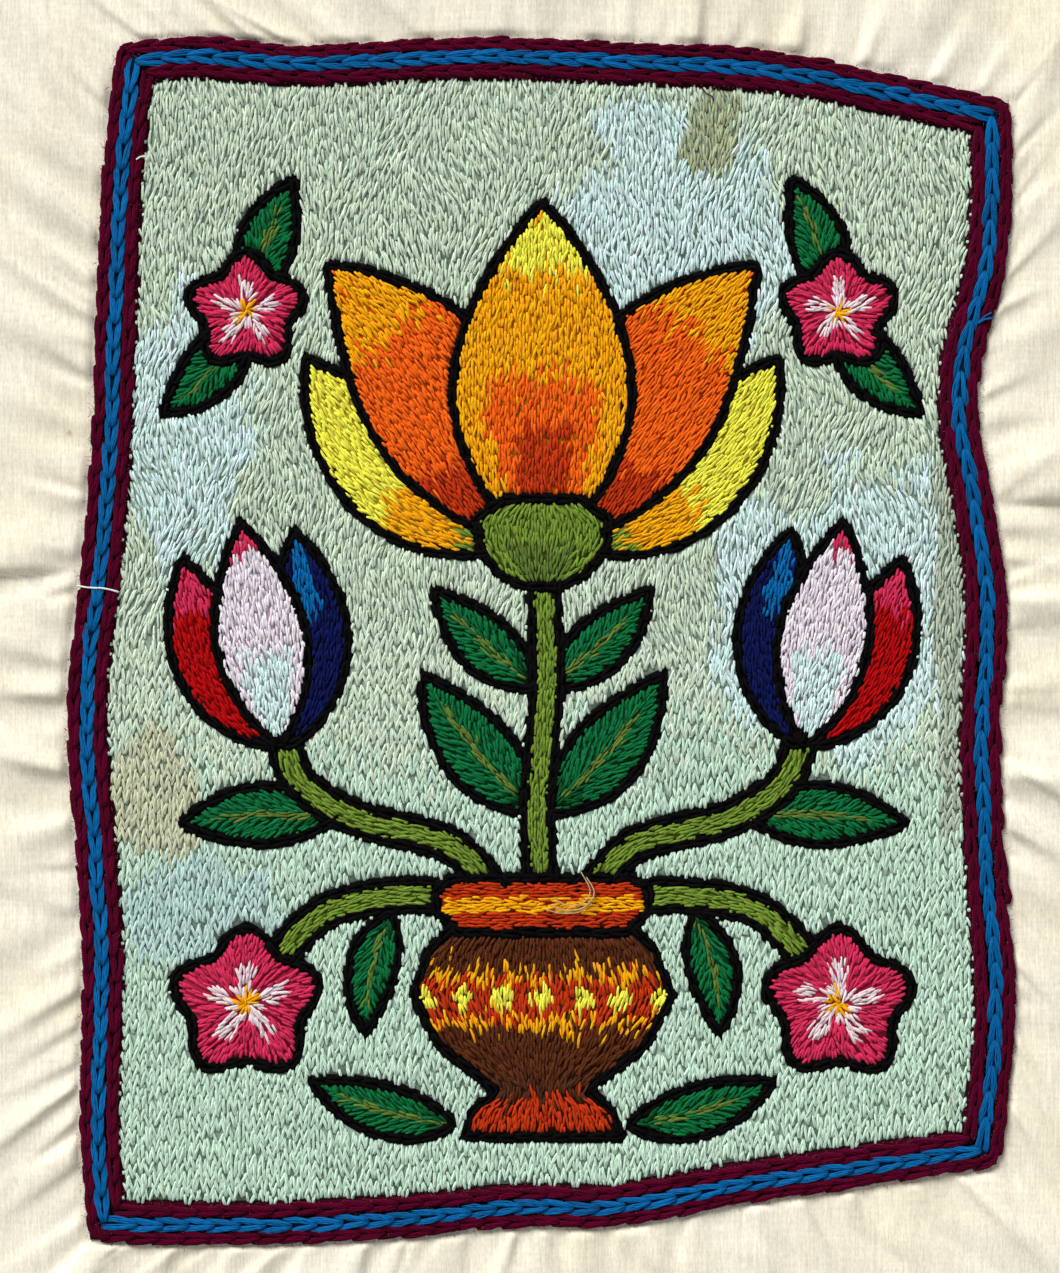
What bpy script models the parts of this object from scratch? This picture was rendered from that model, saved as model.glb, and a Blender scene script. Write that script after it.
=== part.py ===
"""Embroidered panel: a cream cloth that lies face up, with a stitched picture inside a border.

The cloth is one sheet, flat under the stitching and puckered in the margin round it. Three rows
of chain stitch run round the picture. Inside them the ground stitches, the motif fillings and
the black outline rows lie side by side as one flush layer, each its own solid.

The origin is on the underside at the middle of the cloth. +X is the picture's right, +Y its top
and +Z points up out of its face. Sizes below are millimetres and become metres in the meshes.
"""

import math
from typing import NamedTuple

import bpy
import numpy as np
from mathutils import geometry

METRES_PER_MM = 0.001

# Cloth
CLOTH_HALF_WIDTH = 150.0
CLOTH_HALF_HEIGHT = 180.0
CLOTH_THICKNESS = 1.0
CLOTH_EDGE_WAVE = 1.4
CLOTH_EDGE_WAVES = (5, 6, 5, 6)
CLOTH_STATIONS = (44, 54, 44, 54)
MARGIN_STEPS = (0.0, 0.12, 0.34, 0.64, 1.0)
PUCKER_RISE = 0.3
PUCKER_SPREAD = 0.8
TROUGH_SEAT = 0.12
CORNER_SEAT = 8.0

# Layers
GAP = 0.3
STITCH_BASE = CLOTH_THICKNESS + GAP
GROUND_HEIGHT = 1.0
FILLING_HEIGHT = 1.15
OUTLINE_HEIGHT = 1.5

# Border rows
ROW_PITCH = 3.55
ROW_HALF_WIDTH = 0.5 * (ROW_PITCH - GAP)
ROW_HEIGHT = 1.8
ROW_CROWN = 0.55
LINK_STATIONS = (67, 82, 67, 82)
LINK_WAIST = 0.82
LINK_DIP = 0.88

# Outline rows
OUTLINE_HALF_WIDTH = 1.3
MITRE_LIMIT = 1.9

# Picture
AXIS_X = 3.0
LOBE_DEPTH = 0.14
STATIONS_PER_LOBE = 4
BLADE_STATIONS = (0.0, 0.1, 0.3, 0.52, 0.74, 0.91, 1.0)
BLADE_STEPS = 40
BLADE_LEAN = 0.9
BLADE_FULLNESS = 0.85
FIELD_STATIONS = (16, 24, 16, 20)
FIELD_CLEARANCE = 0.25
SMALLEST_PATCH = 4.0

# Working steps
CROSSING_STEPS = 12
LAYOUT_TOLERANCE = 1e-4
LOOPS_PER_MOTIF = 4


class RoutePoint(NamedTuple):
    """A point of the blue border row: how far along its side, and where it lies across."""

    along: float
    across: float


class Fold(NamedTuple):
    """A pucker or fold of the margin, starting at the border and running out to the edge."""

    side: str
    along: float
    drift: float
    height: float
    width: float


class Blade(NamedTuple):
    """A petal or leaf, pointed at both ends."""

    name: str
    x: float
    y: float
    heading: float
    length: float
    width: float
    bend: float
    colour: str


class Rosette(NamedTuple):
    """A round flower with shallow lobes."""

    name: str
    x: float
    y: float
    radius: float
    lobes: int
    turn: float


class Girth(NamedTuple):
    """A level of the pot: its height in the picture and its half width there."""

    y: float
    half_width: float


# The sides of the blue row. The top and bottom are read along X, the left and right along Y.
BORDER_TOP = (
    RoutePoint(-106.0, 136.6),
    RoutePoint(-82.0, 139.0),
    RoutePoint(-57.0, 137.4),
    RoutePoint(-10.0, 139.0),
    RoutePoint(28.0, 137.5),
    RoutePoint(49.0, 136.5),
    RoutePoint(69.0, 134.0),
    RoutePoint(89.0, 129.7),
    RoutePoint(118.0, 123.0),
)
BORDER_RIGHT = (
    RoutePoint(-130.0, 107.2),
    RoutePoint(-115.0, 109.4),
    RoutePoint(-92.0, 111.6),
    RoutePoint(-54.0, 109.4),
    RoutePoint(-28.0, 108.2),
    RoutePoint(11.0, 109.4),
    RoutePoint(33.0, 106.3),
    RoutePoint(55.0, 103.0),
    RoutePoint(66.0, 103.6),
    RoutePoint(88.0, 109.2),
    RoutePoint(132.0, 110.8),
)
BORDER_BOTTOM = (
    RoutePoint(-110.0, -140.4),
    RoutePoint(-62.0, -141.0),
    RoutePoint(-30.0, -139.3),
    RoutePoint(0.0, -136.7),
    RoutePoint(16.0, -136.9),
    RoutePoint(49.0, -131.6),
    RoutePoint(81.0, -127.1),
    RoutePoint(116.0, -121.8),
)
BORDER_LEFT = (
    RoutePoint(-148.0, -101.0),
    RoutePoint(-128.0, -103.0),
    RoutePoint(-68.0, -103.0),
    RoutePoint(-49.0, -104.4),
    RoutePoint(-24.0, -106.3),
    RoutePoint(-12.0, -106.3),
    RoutePoint(11.0, -103.7),
    RoutePoint(32.0, -101.6),
    RoutePoint(84.0, -99.1),
    RoutePoint(112.0, -97.9),
    RoutePoint(144.0, -94.0),
)

FOLDS = (
    Fold("top", -62.0, 4.0, 1.2, 7.0),
    Fold("top", -34.0, 9.0, 1.6, 6.0),
    Fold("top", 3.0, 8.0, 1.7, 6.5),
    Fold("top", 46.0, -6.0, 1.3, 9.0),
    Fold("top", 84.0, 5.0, 1.6, 6.0),
    Fold("right", 122.0, 16.0, 2.2, 6.0),
    Fold("right", 101.0, 6.0, 1.1, 5.0),
    Fold("right", 86.0, 9.0, 1.5, 5.5),
    Fold("right", 62.0, 2.0, 1.3, 5.0),
    Fold("right", 34.0, -8.0, 3.0, 5.5),
    Fold("right", 8.0, -2.0, 1.0, 6.0),
    Fold("right", -29.0, -5.0, 2.2, 4.5),
    Fold("right", -50.0, -3.0, 1.3, 5.0),
    Fold("right", -70.0, -4.0, 1.1, 5.0),
    Fold("right", -90.0, -9.0, 1.6, 5.5),
    Fold("right", -108.0, -12.0, 1.4, 5.0),
    Fold("bottom", 104.0, 14.0, 2.4, 6.5),
    Fold("bottom", 81.0, 3.0, 1.7, 6.0),
    Fold("bottom", 44.0, 2.0, 1.0, 8.0),
    Fold("bottom", 0.0, -2.0, 1.6, 6.5),
    Fold("bottom", -46.0, -3.0, 1.1, 8.0),
    Fold("bottom", -92.0, -12.0, 1.7, 7.0),
    Fold("left", -106.0, -5.0, 1.5, 6.5),
    Fold("left", -87.0, -2.0, 1.0, 5.0),
    Fold("left", -66.0, 1.0, 1.4, 5.0),
    Fold("left", -46.0, 1.0, 0.9, 5.0),
    Fold("left", -30.0, 0.0, 1.1, 5.0),
    Fold("left", -2.0, 1.0, 1.3, 5.5),
    Fold("left", 18.0, -5.0, 3.0, 5.0),
    Fold("left", 39.0, 3.0, 1.4, 5.0),
    Fold("left", 51.0, 3.0, 1.3, 4.5),
    Fold("left", 66.0, 4.0, 1.5, 5.0),
    Fold("left", 80.0, 6.0, 1.2, 4.5),
    Fold("left", 94.0, 10.0, 1.7, 5.0),
    Fold("left", 109.0, 12.0, 1.5, 5.0),
    Fold("left", 124.0, 17.0, 1.8, 6.0),
)

# The pot's foot, waist, belly and neck, and its rim
POT_PROFILE = (
    Girth(-120.0, 19.0),
    Girth(-114.0, 17.0),
    Girth(-109.0, 11.0),
    Girth(-98.0, 25.0),
    Girth(-86.0, 31.0),
    Girth(-75.0, 27.0),
    Girth(-68.0, 20.0),
)
RIM_PROFILE = (
    Girth(-71.0, 20.0),
    Girth(-66.0, 25.5),
    Girth(-61.0, 25.5),
    Girth(-58.0, 22.0),
)
CALYX_PROFILE = (
    Girth(12.0, 4.5),
    Girth(15.0, 10.5),
    Girth(21.0, 15.0),
    Girth(28.0, 16.0),
    Girth(33.0, 9.0),
)

# The blades of the right half; those off the middle are mirrored to the left
MIDDLE_BLADES = (Blade("bloom_heart", 0.0, 20.0, 90.0, 84.0, 43.0, 0.0, "gold"),)
TOP_BLADES = (
    Blade("bloom_inner_petal", 5.0, 22.0, 66.0, 82.0, 37.0, -22.0, "orange"),
    Blade("bloom_outer_petal", 8.0, 22.0, 25.0, 67.0, 28.0, 36.0, "lemon"),
    Blade("tulip_heart", 63.0, -26.0, 80.0, 54.0, 22.0, 0.0, "lavender"),
    Blade("tulip_inner_petal", 61.0, -26.0, 108.0, 52.0, 20.0, -34.0, "navy"),
    Blade("tulip_outer_petal", 65.0, -26.0, 50.0, 50.0, 20.0, 30.0, "red"),
)
LEAF_BLADES = (
    Blade("middle_leaf", 1.0, -42.0, 40.0, 43.0, 17.0, 20.0, "emerald"),
    Blade("upper_leaf", 1.0, -12.0, 34.0, 34.0, 13.0, 18.0, "emerald"),
    Blade("side_leaf", 49.0, -43.0, 4.0, 38.0, 14.0, -14.0, "emerald"),
    Blade("low_leaf", 36.0, -66.0, -64.0, 30.0, 11.5, -28.0, "emerald"),
    Blade("foot_leaf", 21.0, -117.0, 6.0, 36.0, 12.0, 22.0, "emerald"),
    Blade("sprig_upper_leaf", 69.0, 80.0, 96.0, 31.0, 13.0, 24.0, "emerald"),
    Blade("sprig_lower_leaf", 71.0, 77.0, -64.0, 31.0, 13.0, 30.0, "emerald"),
)
ROSETTES = (
    Rosette("low_rosette", 71.0, -88.0, 16.0, 5, 90.0),
    Rosette("sprig_rosette", 71.0, 78.0, 12.5, 5, 90.0),
)

# Stems: the middle one, and the right-hand ones that are mirrored; (x, y) pairs along each
STEM_HALF_WIDTH = 3.3
MIDDLE_STEM = ((0.0, -64.0), (-1.2, -40.0), (1.0, -12.0), (0.0, 18.0))
SIDE_STEMS = {
    "tulip_stem": ((9.0, -64.0), (22.0, -50.0), (44.0, -44.0), (58.0, -35.0), (63.0, -22.0)),
    "rosette_stem": ((16.0, -64.0), (32.0, -62.0), (52.0, -66.0), (66.0, -80.0)),
}

COLOURS = {
    "cream": (0.82, 0.78, 0.65),
    "maroon": (0.05, 0.003, 0.011),
    "blue": (0.006, 0.09, 0.27),
    "mint": (0.42, 0.54, 0.42),
    "black": (0.004, 0.003, 0.003),
    "brown": (0.08, 0.022, 0.008),
    "rust": (0.50, 0.09, 0.012),
    "olive": (0.13, 0.22, 0.03),
    "gold": (0.80, 0.34, 0.012),
    "orange": (0.60, 0.07, 0.009),
    "lemon": (0.70, 0.66, 0.06),
    "lavender": (0.62, 0.56, 0.63),
    "navy": (0.003, 0.008, 0.05),
    "red": (0.29, 0.004, 0.004),
    "emerald": (0.006, 0.10, 0.028),
    "pink": (0.44, 0.025, 0.085),
}
COTTON_ROUGHNESS = 0.85


class Motif(NamedTuple):
    """A patch of the picture: its outline row's middle line, and the filling's colour."""

    name: str
    outline: np.ndarray
    colour: str


def clear_scene() -> None:
    """Remove every object that is already in the scene."""
    for item in list(bpy.data.objects):
        bpy.data.objects.remove(item, do_unlink=True)


def thread_material(colour: str) -> bpy.types.Material:
    """Return the plain material of one thread or cloth colour, made once."""
    name = f"{colour}_thread"
    material = bpy.data.materials.get(name)
    if material is None:
        material = bpy.data.materials.new(name)
        material.use_nodes = True
        shader = material.node_tree.nodes["Principled BSDF"]
        shader.inputs["Base Color"].default_value = (*COLOURS[colour], 1.0)
        shader.inputs["Roughness"].default_value = COTTON_ROUGHNESS
        shader.inputs["Metallic"].default_value = 0.0
    return material


def add_solid(name: str, points: np.ndarray, faces: list, colour: str) -> None:
    """Put one closed mesh into the scene, its points turned from millimetres to metres."""
    mesh = bpy.data.meshes.new(name)
    mesh.from_pydata((points * METRES_PER_MM).tolist(), [], faces)
    mesh.materials.append(thread_material(colour))
    mesh.validate()
    solid = bpy.data.objects.new(name, mesh)
    bpy.context.scene.collection.objects.link(solid)


def smooth_across(side: tuple, along: np.ndarray) -> np.ndarray:
    """Read a side's route at each distance along it, on a cubic curve through its points."""
    known = np.array([point.along for point in side])
    across = np.array([point.across for point in side])
    slopes = np.gradient(across, known)
    span = np.clip(np.searchsorted(known, along) - 1, 0, len(known) - 2)
    reach = known[span + 1] - known[span]
    part = (along - known[span]) / reach
    start = (1 + 2 * part) * (1 - part) ** 2 * across[span]
    end = part**2 * (3 - 2 * part) * across[span + 1]
    leave = part * (1 - part) ** 2 * reach * slopes[span]
    arrive = part**2 * (part - 1) * reach * slopes[span + 1]
    return start + end + leave + arrive


def corner(level: tuple, upright: tuple, rise: float, shift: float) -> tuple:
    """Find where a level side and an upright side cross once both are moved outwards."""
    x = upright[len(upright) // 2].across + shift
    y = 0.0
    for _ in range(CROSSING_STEPS):
        y = float(smooth_across(level, np.array([x]))[0]) + rise
        x = float(smooth_across(upright, np.array([y]))[0]) + shift
    return x, y


def border_loop(outwards: float, stations: tuple) -> np.ndarray:
    """Return points round the border, moved outwards from the blue row's middle.

    They start at the top left corner and run clockwise, with the same number of stations on a
    side whatever the distance, so that two loops match point for point.
    """
    top_left = corner(BORDER_TOP, BORDER_LEFT, outwards, -outwards)
    top_right = corner(BORDER_TOP, BORDER_RIGHT, outwards, outwards)
    low_right = corner(BORDER_BOTTOM, BORDER_RIGHT, -outwards, outwards)
    low_left = corner(BORDER_BOTTOM, BORDER_LEFT, -outwards, -outwards)
    top_x = np.linspace(top_left[0], top_right[0], stations[0], endpoint=False)
    right_y = np.linspace(top_right[1], low_right[1], stations[1], endpoint=False)
    bottom_x = np.linspace(low_right[0], low_left[0], stations[2], endpoint=False)
    left_y = np.linspace(low_left[1], top_left[1], stations[3], endpoint=False)
    sides = (
        np.stack((top_x, smooth_across(BORDER_TOP, top_x) + outwards), axis=1),
        np.stack((smooth_across(BORDER_RIGHT, right_y) + outwards, right_y), axis=1),
        np.stack((bottom_x, smooth_across(BORDER_BOTTOM, bottom_x) - outwards), axis=1),
        np.stack((smooth_across(BORDER_LEFT, left_y) - outwards, left_y), axis=1),
    )
    return np.concatenate(sides)


def cloth_edge_loop(stations: tuple) -> np.ndarray:
    """Return points round the cloth's cut edge, which bows in a little between its corners."""
    corners = np.array(
        [
            (-CLOTH_HALF_WIDTH, CLOTH_HALF_HEIGHT),
            (CLOTH_HALF_WIDTH, CLOTH_HALF_HEIGHT),
            (CLOTH_HALF_WIDTH, -CLOTH_HALF_HEIGHT),
            (-CLOTH_HALF_WIDTH, -CLOTH_HALF_HEIGHT),
        ]
    )
    inwards = np.array([(0.0, -1.0), (-1.0, 0.0), (0.0, 1.0), (1.0, 0.0)])
    sides = []
    for side, count in enumerate(stations):
        part = np.arange(count)[:, None] / count
        straight = corners[side] + (corners[(side + 1) % 4] - corners[side]) * part
        wave = CLOTH_EDGE_WAVE * np.sin(math.pi * part * CLOTH_EDGE_WAVES[side]) ** 2
        sides.append(straight + inwards[side] * wave)
    return np.concatenate(sides)


def distance_round(loop: np.ndarray) -> tuple:
    """Return each point's distance along a closed loop, and the loop's whole length."""
    steps = np.linalg.norm(np.roll(loop, -1, axis=0) - loop, axis=1)
    return np.concatenate(([0.0], np.cumsum(steps)[:-1])), float(steps.sum())


def fold_start(fold: Fold, loop: np.ndarray, place: np.ndarray) -> float:
    """Return where a fold leaves the border, as a distance round the loop."""
    first = {"top": 0, "right": 1, "bottom": 2, "left": 3}[fold.side]
    begin = sum(CLOTH_STATIONS[:first])
    stretch = slice(begin, begin + CLOTH_STATIONS[first])
    reading = loop[stretch, 0 if fold.side in ("top", "bottom") else 1]
    return float(place[stretch][np.argmin(np.abs(reading - fold.along))])


def margin_height(place: np.ndarray, loop: np.ndarray, length: float, step: float) -> np.ndarray:
    """Return how far the cloth stands up at one step out from the border.

    Each fold is a round ridge across its line. It starts low at the stitching, rises as it runs
    outwards, widens, and drifts round the border. Between the folds the cloth lies flat.
    """
    rise = min(1.0, step / PUCKER_RISE)
    height = np.zeros(len(place))
    for fold in FOLDS:
        turn = 1.0 if fold.side in ("top", "left") else -1.0
        middle = fold_start(fold, loop, place) + turn * fold.drift * step
        away = (place - middle + 0.5 * length) % length - 0.5 * length
        width = fold.width * (1.0 + PUCKER_SPREAD * step)
        height += fold.height * rise * np.exp(-((away / width) ** 2))
    return np.maximum(height - TROUGH_SEAT, 0.0)


def corner_share(flat: np.ndarray) -> np.ndarray:
    """Return how much of a fold's height is left at each point: none at the cloth's corners."""
    across = CLOTH_HALF_WIDTH - np.abs(flat[:, 0])
    along = CLOTH_HALF_HEIGHT - np.abs(flat[:, 1])
    return 1.0 - np.exp(-((np.hypot(across, along) / CORNER_SEAT) ** 2))


def strip_faces(first: int, second: int, count: int) -> list:
    """Return the four-sided faces between two closed rings of points."""
    faces = []
    for index in range(count):
        after = (index + 1) % count
        faces.append((first + index, first + after, second + after, second + index))
    return faces


def build_cloth() -> None:
    """Build the sheet: flat inside the border, with the folds of its margin outside it."""
    inner = border_loop(1.5 * ROW_PITCH + GAP, CLOTH_STATIONS)
    edge = cloth_edge_loop(CLOTH_STATIONS)
    place, length = distance_round(inner)
    rings = []
    for step in MARGIN_STEPS:
        flat = inner + (edge - inner) * step
        lift = margin_height(place, inner, length, step) * corner_share(flat)
        rings.append(np.column_stack((flat, lift)))
    under = np.concatenate(rings)
    points = np.concatenate((under + (0.0, 0.0, CLOTH_THICKNESS), under))
    count = len(inner)
    below = len(under)
    last = (len(MARGIN_STEPS) - 1) * count
    faces = [tuple(range(count))[::-1], tuple(range(below, below + count))]
    for ring in range(len(MARGIN_STEPS) - 1):
        start = ring * count
        faces += strip_faces(start, start + count, count)
        faces += [face[::-1] for face in strip_faces(below + start, below + start + count, count)]
    faces += strip_faces(last, below + last, count)
    add_solid("cloth", points, faces, "cream")


def build_border_row(name: str, middle: float, colour: str, scalloped: bool) -> None:
    """Build one chain-stitch row as a closed ring with a flat base and a crowned top.

    Every second station is the middle of a link; those between are its waist, a little
    narrower on the outer side of a scalloped row and a little lower.
    """
    stations = LINK_STATIONS if scalloped else tuple(count // 2 + 1 for count in LINK_STATIONS)
    full = [
        border_loop(middle - ROW_HALF_WIDTH, stations),
        border_loop(middle + ROW_HALF_WIDTH, stations),
        border_loop(middle + ROW_CROWN * ROW_HALF_WIDTH, stations),
        border_loop(middle - ROW_CROWN * ROW_HALF_WIDTH, stations),
    ]
    centre = border_loop(middle, stations)
    count = len(centre)
    waist = (np.arange(count) % 2)[:, None] if scalloped else np.zeros((count, 1))
    draw_in = 1.0 - waist * (1.0 - LINK_WAIST)
    full[1] = centre + (full[1] - centre) * draw_in
    full[2] = centre + (full[2] - centre) * draw_in
    crown = STITCH_BASE + ROW_HEIGHT * (1.0 - waist * (1.0 - LINK_DIP))
    base = np.full((count, 1), STITCH_BASE)
    heights = (base, base, crown, crown)
    points = np.concatenate([np.hstack((loop, z)) for loop, z in zip(full, heights)])
    faces = []
    for ring in range(4):
        faces += [face[::-1] for face in strip_faces(ring * count, ((ring + 1) % 4) * count, count)]
    add_solid(name, points, faces, colour)


def mirrored(outline: np.ndarray, side: int) -> np.ndarray:
    """Place an outline drawn about the picture's axis on its right (1) or left (-1)."""
    placed = outline * (side, 1.0) + (AXIS_X, 0.0)
    return placed if side > 0 else placed[::-1]


def blade_outline(blade: Blade) -> np.ndarray:
    """Return a petal or leaf: its half width is a sine arch along a bending middle line."""
    parts = np.array(BLADE_STATIONS)
    fine = np.linspace(0.0, 1.0, BLADE_STEPS + 1)
    angle = np.radians(blade.heading + blade.bend * fine)
    step = blade.length / BLADE_STEPS
    x = blade.x + np.concatenate(([0.0], np.cumsum(np.cos(angle[:-1]) * step)))
    y = blade.y + np.concatenate(([0.0], np.cumsum(np.sin(angle[:-1]) * step)))
    middle = np.stack((np.interp(parts, fine, x), np.interp(parts, fine, y)), axis=1)
    turned = np.radians(blade.heading + blade.bend * parts)
    across = np.stack((-np.sin(turned), np.cos(turned)), axis=1)
    arch = np.sin(math.pi * parts**BLADE_LEAN) ** BLADE_FULLNESS
    half = 0.5 * blade.width * arch[:, None]
    right = middle - across * half
    left = middle + across * half
    return np.concatenate((right, left[-2:0:-1]))


def rosette_outline(rosette: Rosette) -> np.ndarray:
    """Return a round flower: its radius swells and shrinks a little, once for each lobe."""
    count = STATIONS_PER_LOBE * rosette.lobes
    angle = np.arange(count) * 2.0 * math.pi / count
    radius = rosette.radius * (1.0 + LOBE_DEPTH * np.cos(rosette.lobes * angle))
    turned = angle + math.radians(rosette.turn)
    x = rosette.x + radius * np.cos(turned)
    y = rosette.y + radius * np.sin(turned)
    return np.stack((x, y), axis=1)


def profile_outline(profile: tuple) -> np.ndarray:
    """Return a shape that is the same on both sides of the picture's axis."""
    right = np.array([(level.half_width, level.y) for level in profile])
    return np.concatenate((right, (right * (-1.0, 1.0))[::-1]))


def stem_outline(route: tuple) -> np.ndarray:
    """Return a stem: a band of one width along a smooth curve through its route."""
    known = np.array(route)
    parts = np.linspace(0.0, 1.0, len(known))
    wanted = np.linspace(0.0, 1.0, 2 * len(known) - 1)
    slopes = np.gradient(known, parts, axis=0)
    span = np.clip(np.searchsorted(parts, wanted) - 1, 0, len(known) - 2)
    reach = parts[1] - parts[0]
    share = ((wanted - parts[span]) / reach)[:, None]
    start = (1 + 2 * share) * (1 - share) ** 2 * known[span]
    end = share**2 * (3 - 2 * share) * known[span + 1]
    leave = share * (1 - share) ** 2 * reach * slopes[span]
    arrive = share**2 * (share - 1) * reach * slopes[span + 1]
    middle = start + end + leave + arrive
    heading = np.gradient(middle, axis=0)
    heading /= np.linalg.norm(heading, axis=1)[:, None]
    across = heading[:, ::-1] * (-1.0, 1.0) * STEM_HALF_WIDTH
    return np.concatenate((middle - across, (middle + across)[::-1]))


def grown(outline: np.ndarray, distance: float) -> np.ndarray:
    """Move an anticlockwise outline outwards by a distance, with mitred corners."""
    before = outline - np.roll(outline, 1, axis=0)
    after = np.roll(outline, -1, axis=0) - outline
    first = before[:, ::-1] * (1.0, -1.0) / np.linalg.norm(before, axis=1)[:, None]
    second = after[:, ::-1] * (1.0, -1.0) / np.linalg.norm(after, axis=1)[:, None]
    bisector = first + second
    bisector /= np.linalg.norm(bisector, axis=1)[:, None]
    mitre = 1.0 / np.maximum(np.sum(bisector * first, axis=1), 1.0 / MITRE_LIMIT)
    return outline + bisector * mitre[:, None] * distance


def picture_motifs() -> list:
    """Return every motif of the picture, those in front first."""
    motifs = [
        Motif("pot_rim", mirrored(profile_outline(RIM_PROFILE), 1), "rust"),
        Motif("pot_body", mirrored(profile_outline(POT_PROFILE), 1), "brown"),
        Motif("bloom_calyx", mirrored(profile_outline(CALYX_PROFILE), 1), "olive"),
    ]
    for blade in MIDDLE_BLADES:
        motifs.append(Motif(blade.name, mirrored(blade_outline(blade), 1), blade.colour))
    sides = (("right", 1), ("left", -1))
    for blade in TOP_BLADES:
        for word, side in sides:
            outline = mirrored(blade_outline(blade), side)
            motifs.append(Motif(f"{word}_{blade.name}", outline, blade.colour))
    for rosette in ROSETTES:
        for word, side in sides:
            outline = mirrored(rosette_outline(rosette), side)
            motifs.append(Motif(f"{word}_{rosette.name}", outline, "pink"))
    motifs.append(Motif("middle_stem", mirrored(stem_outline(MIDDLE_STEM), 1), "olive"))
    for name, route in SIDE_STEMS.items():
        for word, side in sides:
            motifs.append(Motif(f"{word}_{name}", mirrored(stem_outline(route), side), "olive"))
    for blade in LEAF_BLADES:
        for word, side in sides:
            outline = mirrored(blade_outline(blade), side)
            motifs.append(Motif(f"{word}_{blade.name}", outline, blade.colour))
    return motifs


def patch_at(inside: set, motif_count: int) -> str:
    """Name the patch that a small face of the picture belongs to.

    Each motif has four outlines, from its filling outwards: the filling's edge, the outline
    row's inner and outer edges, and the edge of what lies round it.
    """
    for motif in range(motif_count):
        filling, row_inner, row_outer, clearance = motif_loops(motif)
        if filling in inside:
            return f"motif {motif}"
        if row_inner in inside:
            return ""
        if row_outer in inside:
            return "outline"
        if clearance in inside:
            return "outline" if row_behind(inside, motif + 1, motif_count) else ""
    return "ground"


def motif_loops(motif: int) -> range:
    """Return the numbers of a motif's four outlines, from its filling outwards."""
    return range(LOOPS_PER_MOTIF * motif, LOOPS_PER_MOTIF * (motif + 1))


def row_behind(inside: set, first: int, motif_count: int) -> bool:
    """Say whether the outline row of a motif further back runs on into a clearance."""
    for motif in range(first, motif_count):
        _, row_inner, row_outer, _ = motif_loops(motif)
        if row_inner in inside:
            return False
        if row_outer in inside:
            return True
    return False


def separate_parts(faces: list) -> list:
    """Split faces into groups that are joined along their edges."""
    by_edge = {}
    for index, face in enumerate(faces):
        for start, end in zip(face, face[1:] + face[:1]):
            by_edge.setdefault(frozenset((start, end)), []).append(index)
    group = list(range(len(faces)))

    def root(index: int) -> int:
        while group[index] != index:
            index = group[index]
        return index

    for members in by_edge.values():
        for other in members[1:]:
            group[root(other)] = root(members[0])
    parts = {}
    for index, face in enumerate(faces):
        parts.setdefault(root(index), []).append(face)
    return list(parts.values())


def face_area(flat: np.ndarray, faces: list) -> float:
    """Return the area of flat triangles."""
    corners = flat[np.array(faces)]
    first = corners[:, 1] - corners[:, 0]
    second = corners[:, 2] - corners[:, 0]
    return float(0.5 * np.abs(first[:, 0] * second[:, 1] - first[:, 1] * second[:, 0]).sum())


def add_slab(name: str, flat: np.ndarray, faces: list, height: float, colour: str) -> None:
    """Raise flat triangles into one closed slab that stands on the stitching's base."""
    used = sorted({index for face in faces for index in face})
    place = {index: order for order, index in enumerate(used)}
    outline = flat[used]
    count = len(used)
    low = np.column_stack((outline, np.full(count, STITCH_BASE)))
    high = np.column_stack((outline, np.full(count, STITCH_BASE + height)))
    top = [tuple(place[index] + count for index in face) for face in faces]
    bottom = [tuple(place[index] for index in reversed(face)) for face in faces]
    edges = {(a, b) for face in faces for a, b in zip(face, face[1:] + face[:1])}
    rim = sorted(edge for edge in edges if edge[::-1] not in edges)
    walls = [
        (place[start], place[end], place[end] + count, place[start] + count) for start, end in rim
    ]
    add_solid(name, np.concatenate((low, high)), top + bottom + walls, colour)


def build_picture() -> None:
    """Lay out the ground, the fillings and the outline rows, and raise each into a solid.

    All the outlines are cut into one flat layout of small faces. Each face goes to the motif
    that lies in front there, so that neighbours share no place and keep the gap.
    """
    motifs = picture_motifs()
    offsets = (
        -OUTLINE_HALF_WIDTH - GAP,
        -OUTLINE_HALF_WIDTH,
        OUTLINE_HALF_WIDTH,
        OUTLINE_HALF_WIDTH + GAP,
    )
    loops = [grown(motif.outline, offset) for motif in motifs for offset in offsets]
    inwards = 1.5 * ROW_PITCH + GAP + FIELD_CLEARANCE
    loops.append(border_loop(-inwards, FIELD_STATIONS)[::-1])
    starts = np.concatenate(([0], np.cumsum([len(loop) for loop in loops])))
    rings = [list(range(starts[i], starts[i + 1])) for i in range(len(loops))]
    corners = np.concatenate(loops).tolist()
    layout = geometry.delaunay_2d_cdt(corners, [], rings, 1, LAYOUT_TOLERANCE, True)
    flat = np.array([tuple(point) for point in layout[0]])
    patches = {}
    for face, inside in zip(layout[2], layout[5]):
        in_field = LOOPS_PER_MOTIF * len(motifs) in inside
        patch = patch_at(set(inside), len(motifs)) if in_field else ""
        if patch:
            patches.setdefault(patch, []).append(tuple(face))
    for patch, faces in patches.items():
        if patch == "ground":
            style = ("stitched_ground", GROUND_HEIGHT, "mint")
        elif patch == "outline":
            style = ("outline_rows", OUTLINE_HEIGHT, "black")
        else:
            motif = motifs[int(patch.split()[1])]
            style = (motif.name, FILLING_HEIGHT, motif.colour)
        parts = [part for part in separate_parts(faces) if face_area(flat, part) > SMALLEST_PATCH]
        parts.sort(key=lambda part: (-round(face_area(flat, part)), flat[np.array(part)][..., 0].mean()))
        for number, part in enumerate(parts):
            name = style[0] if number == 0 else f"{style[0]}_{number + 1}"
            add_slab(name, flat, part, style[1], style[2])


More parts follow.
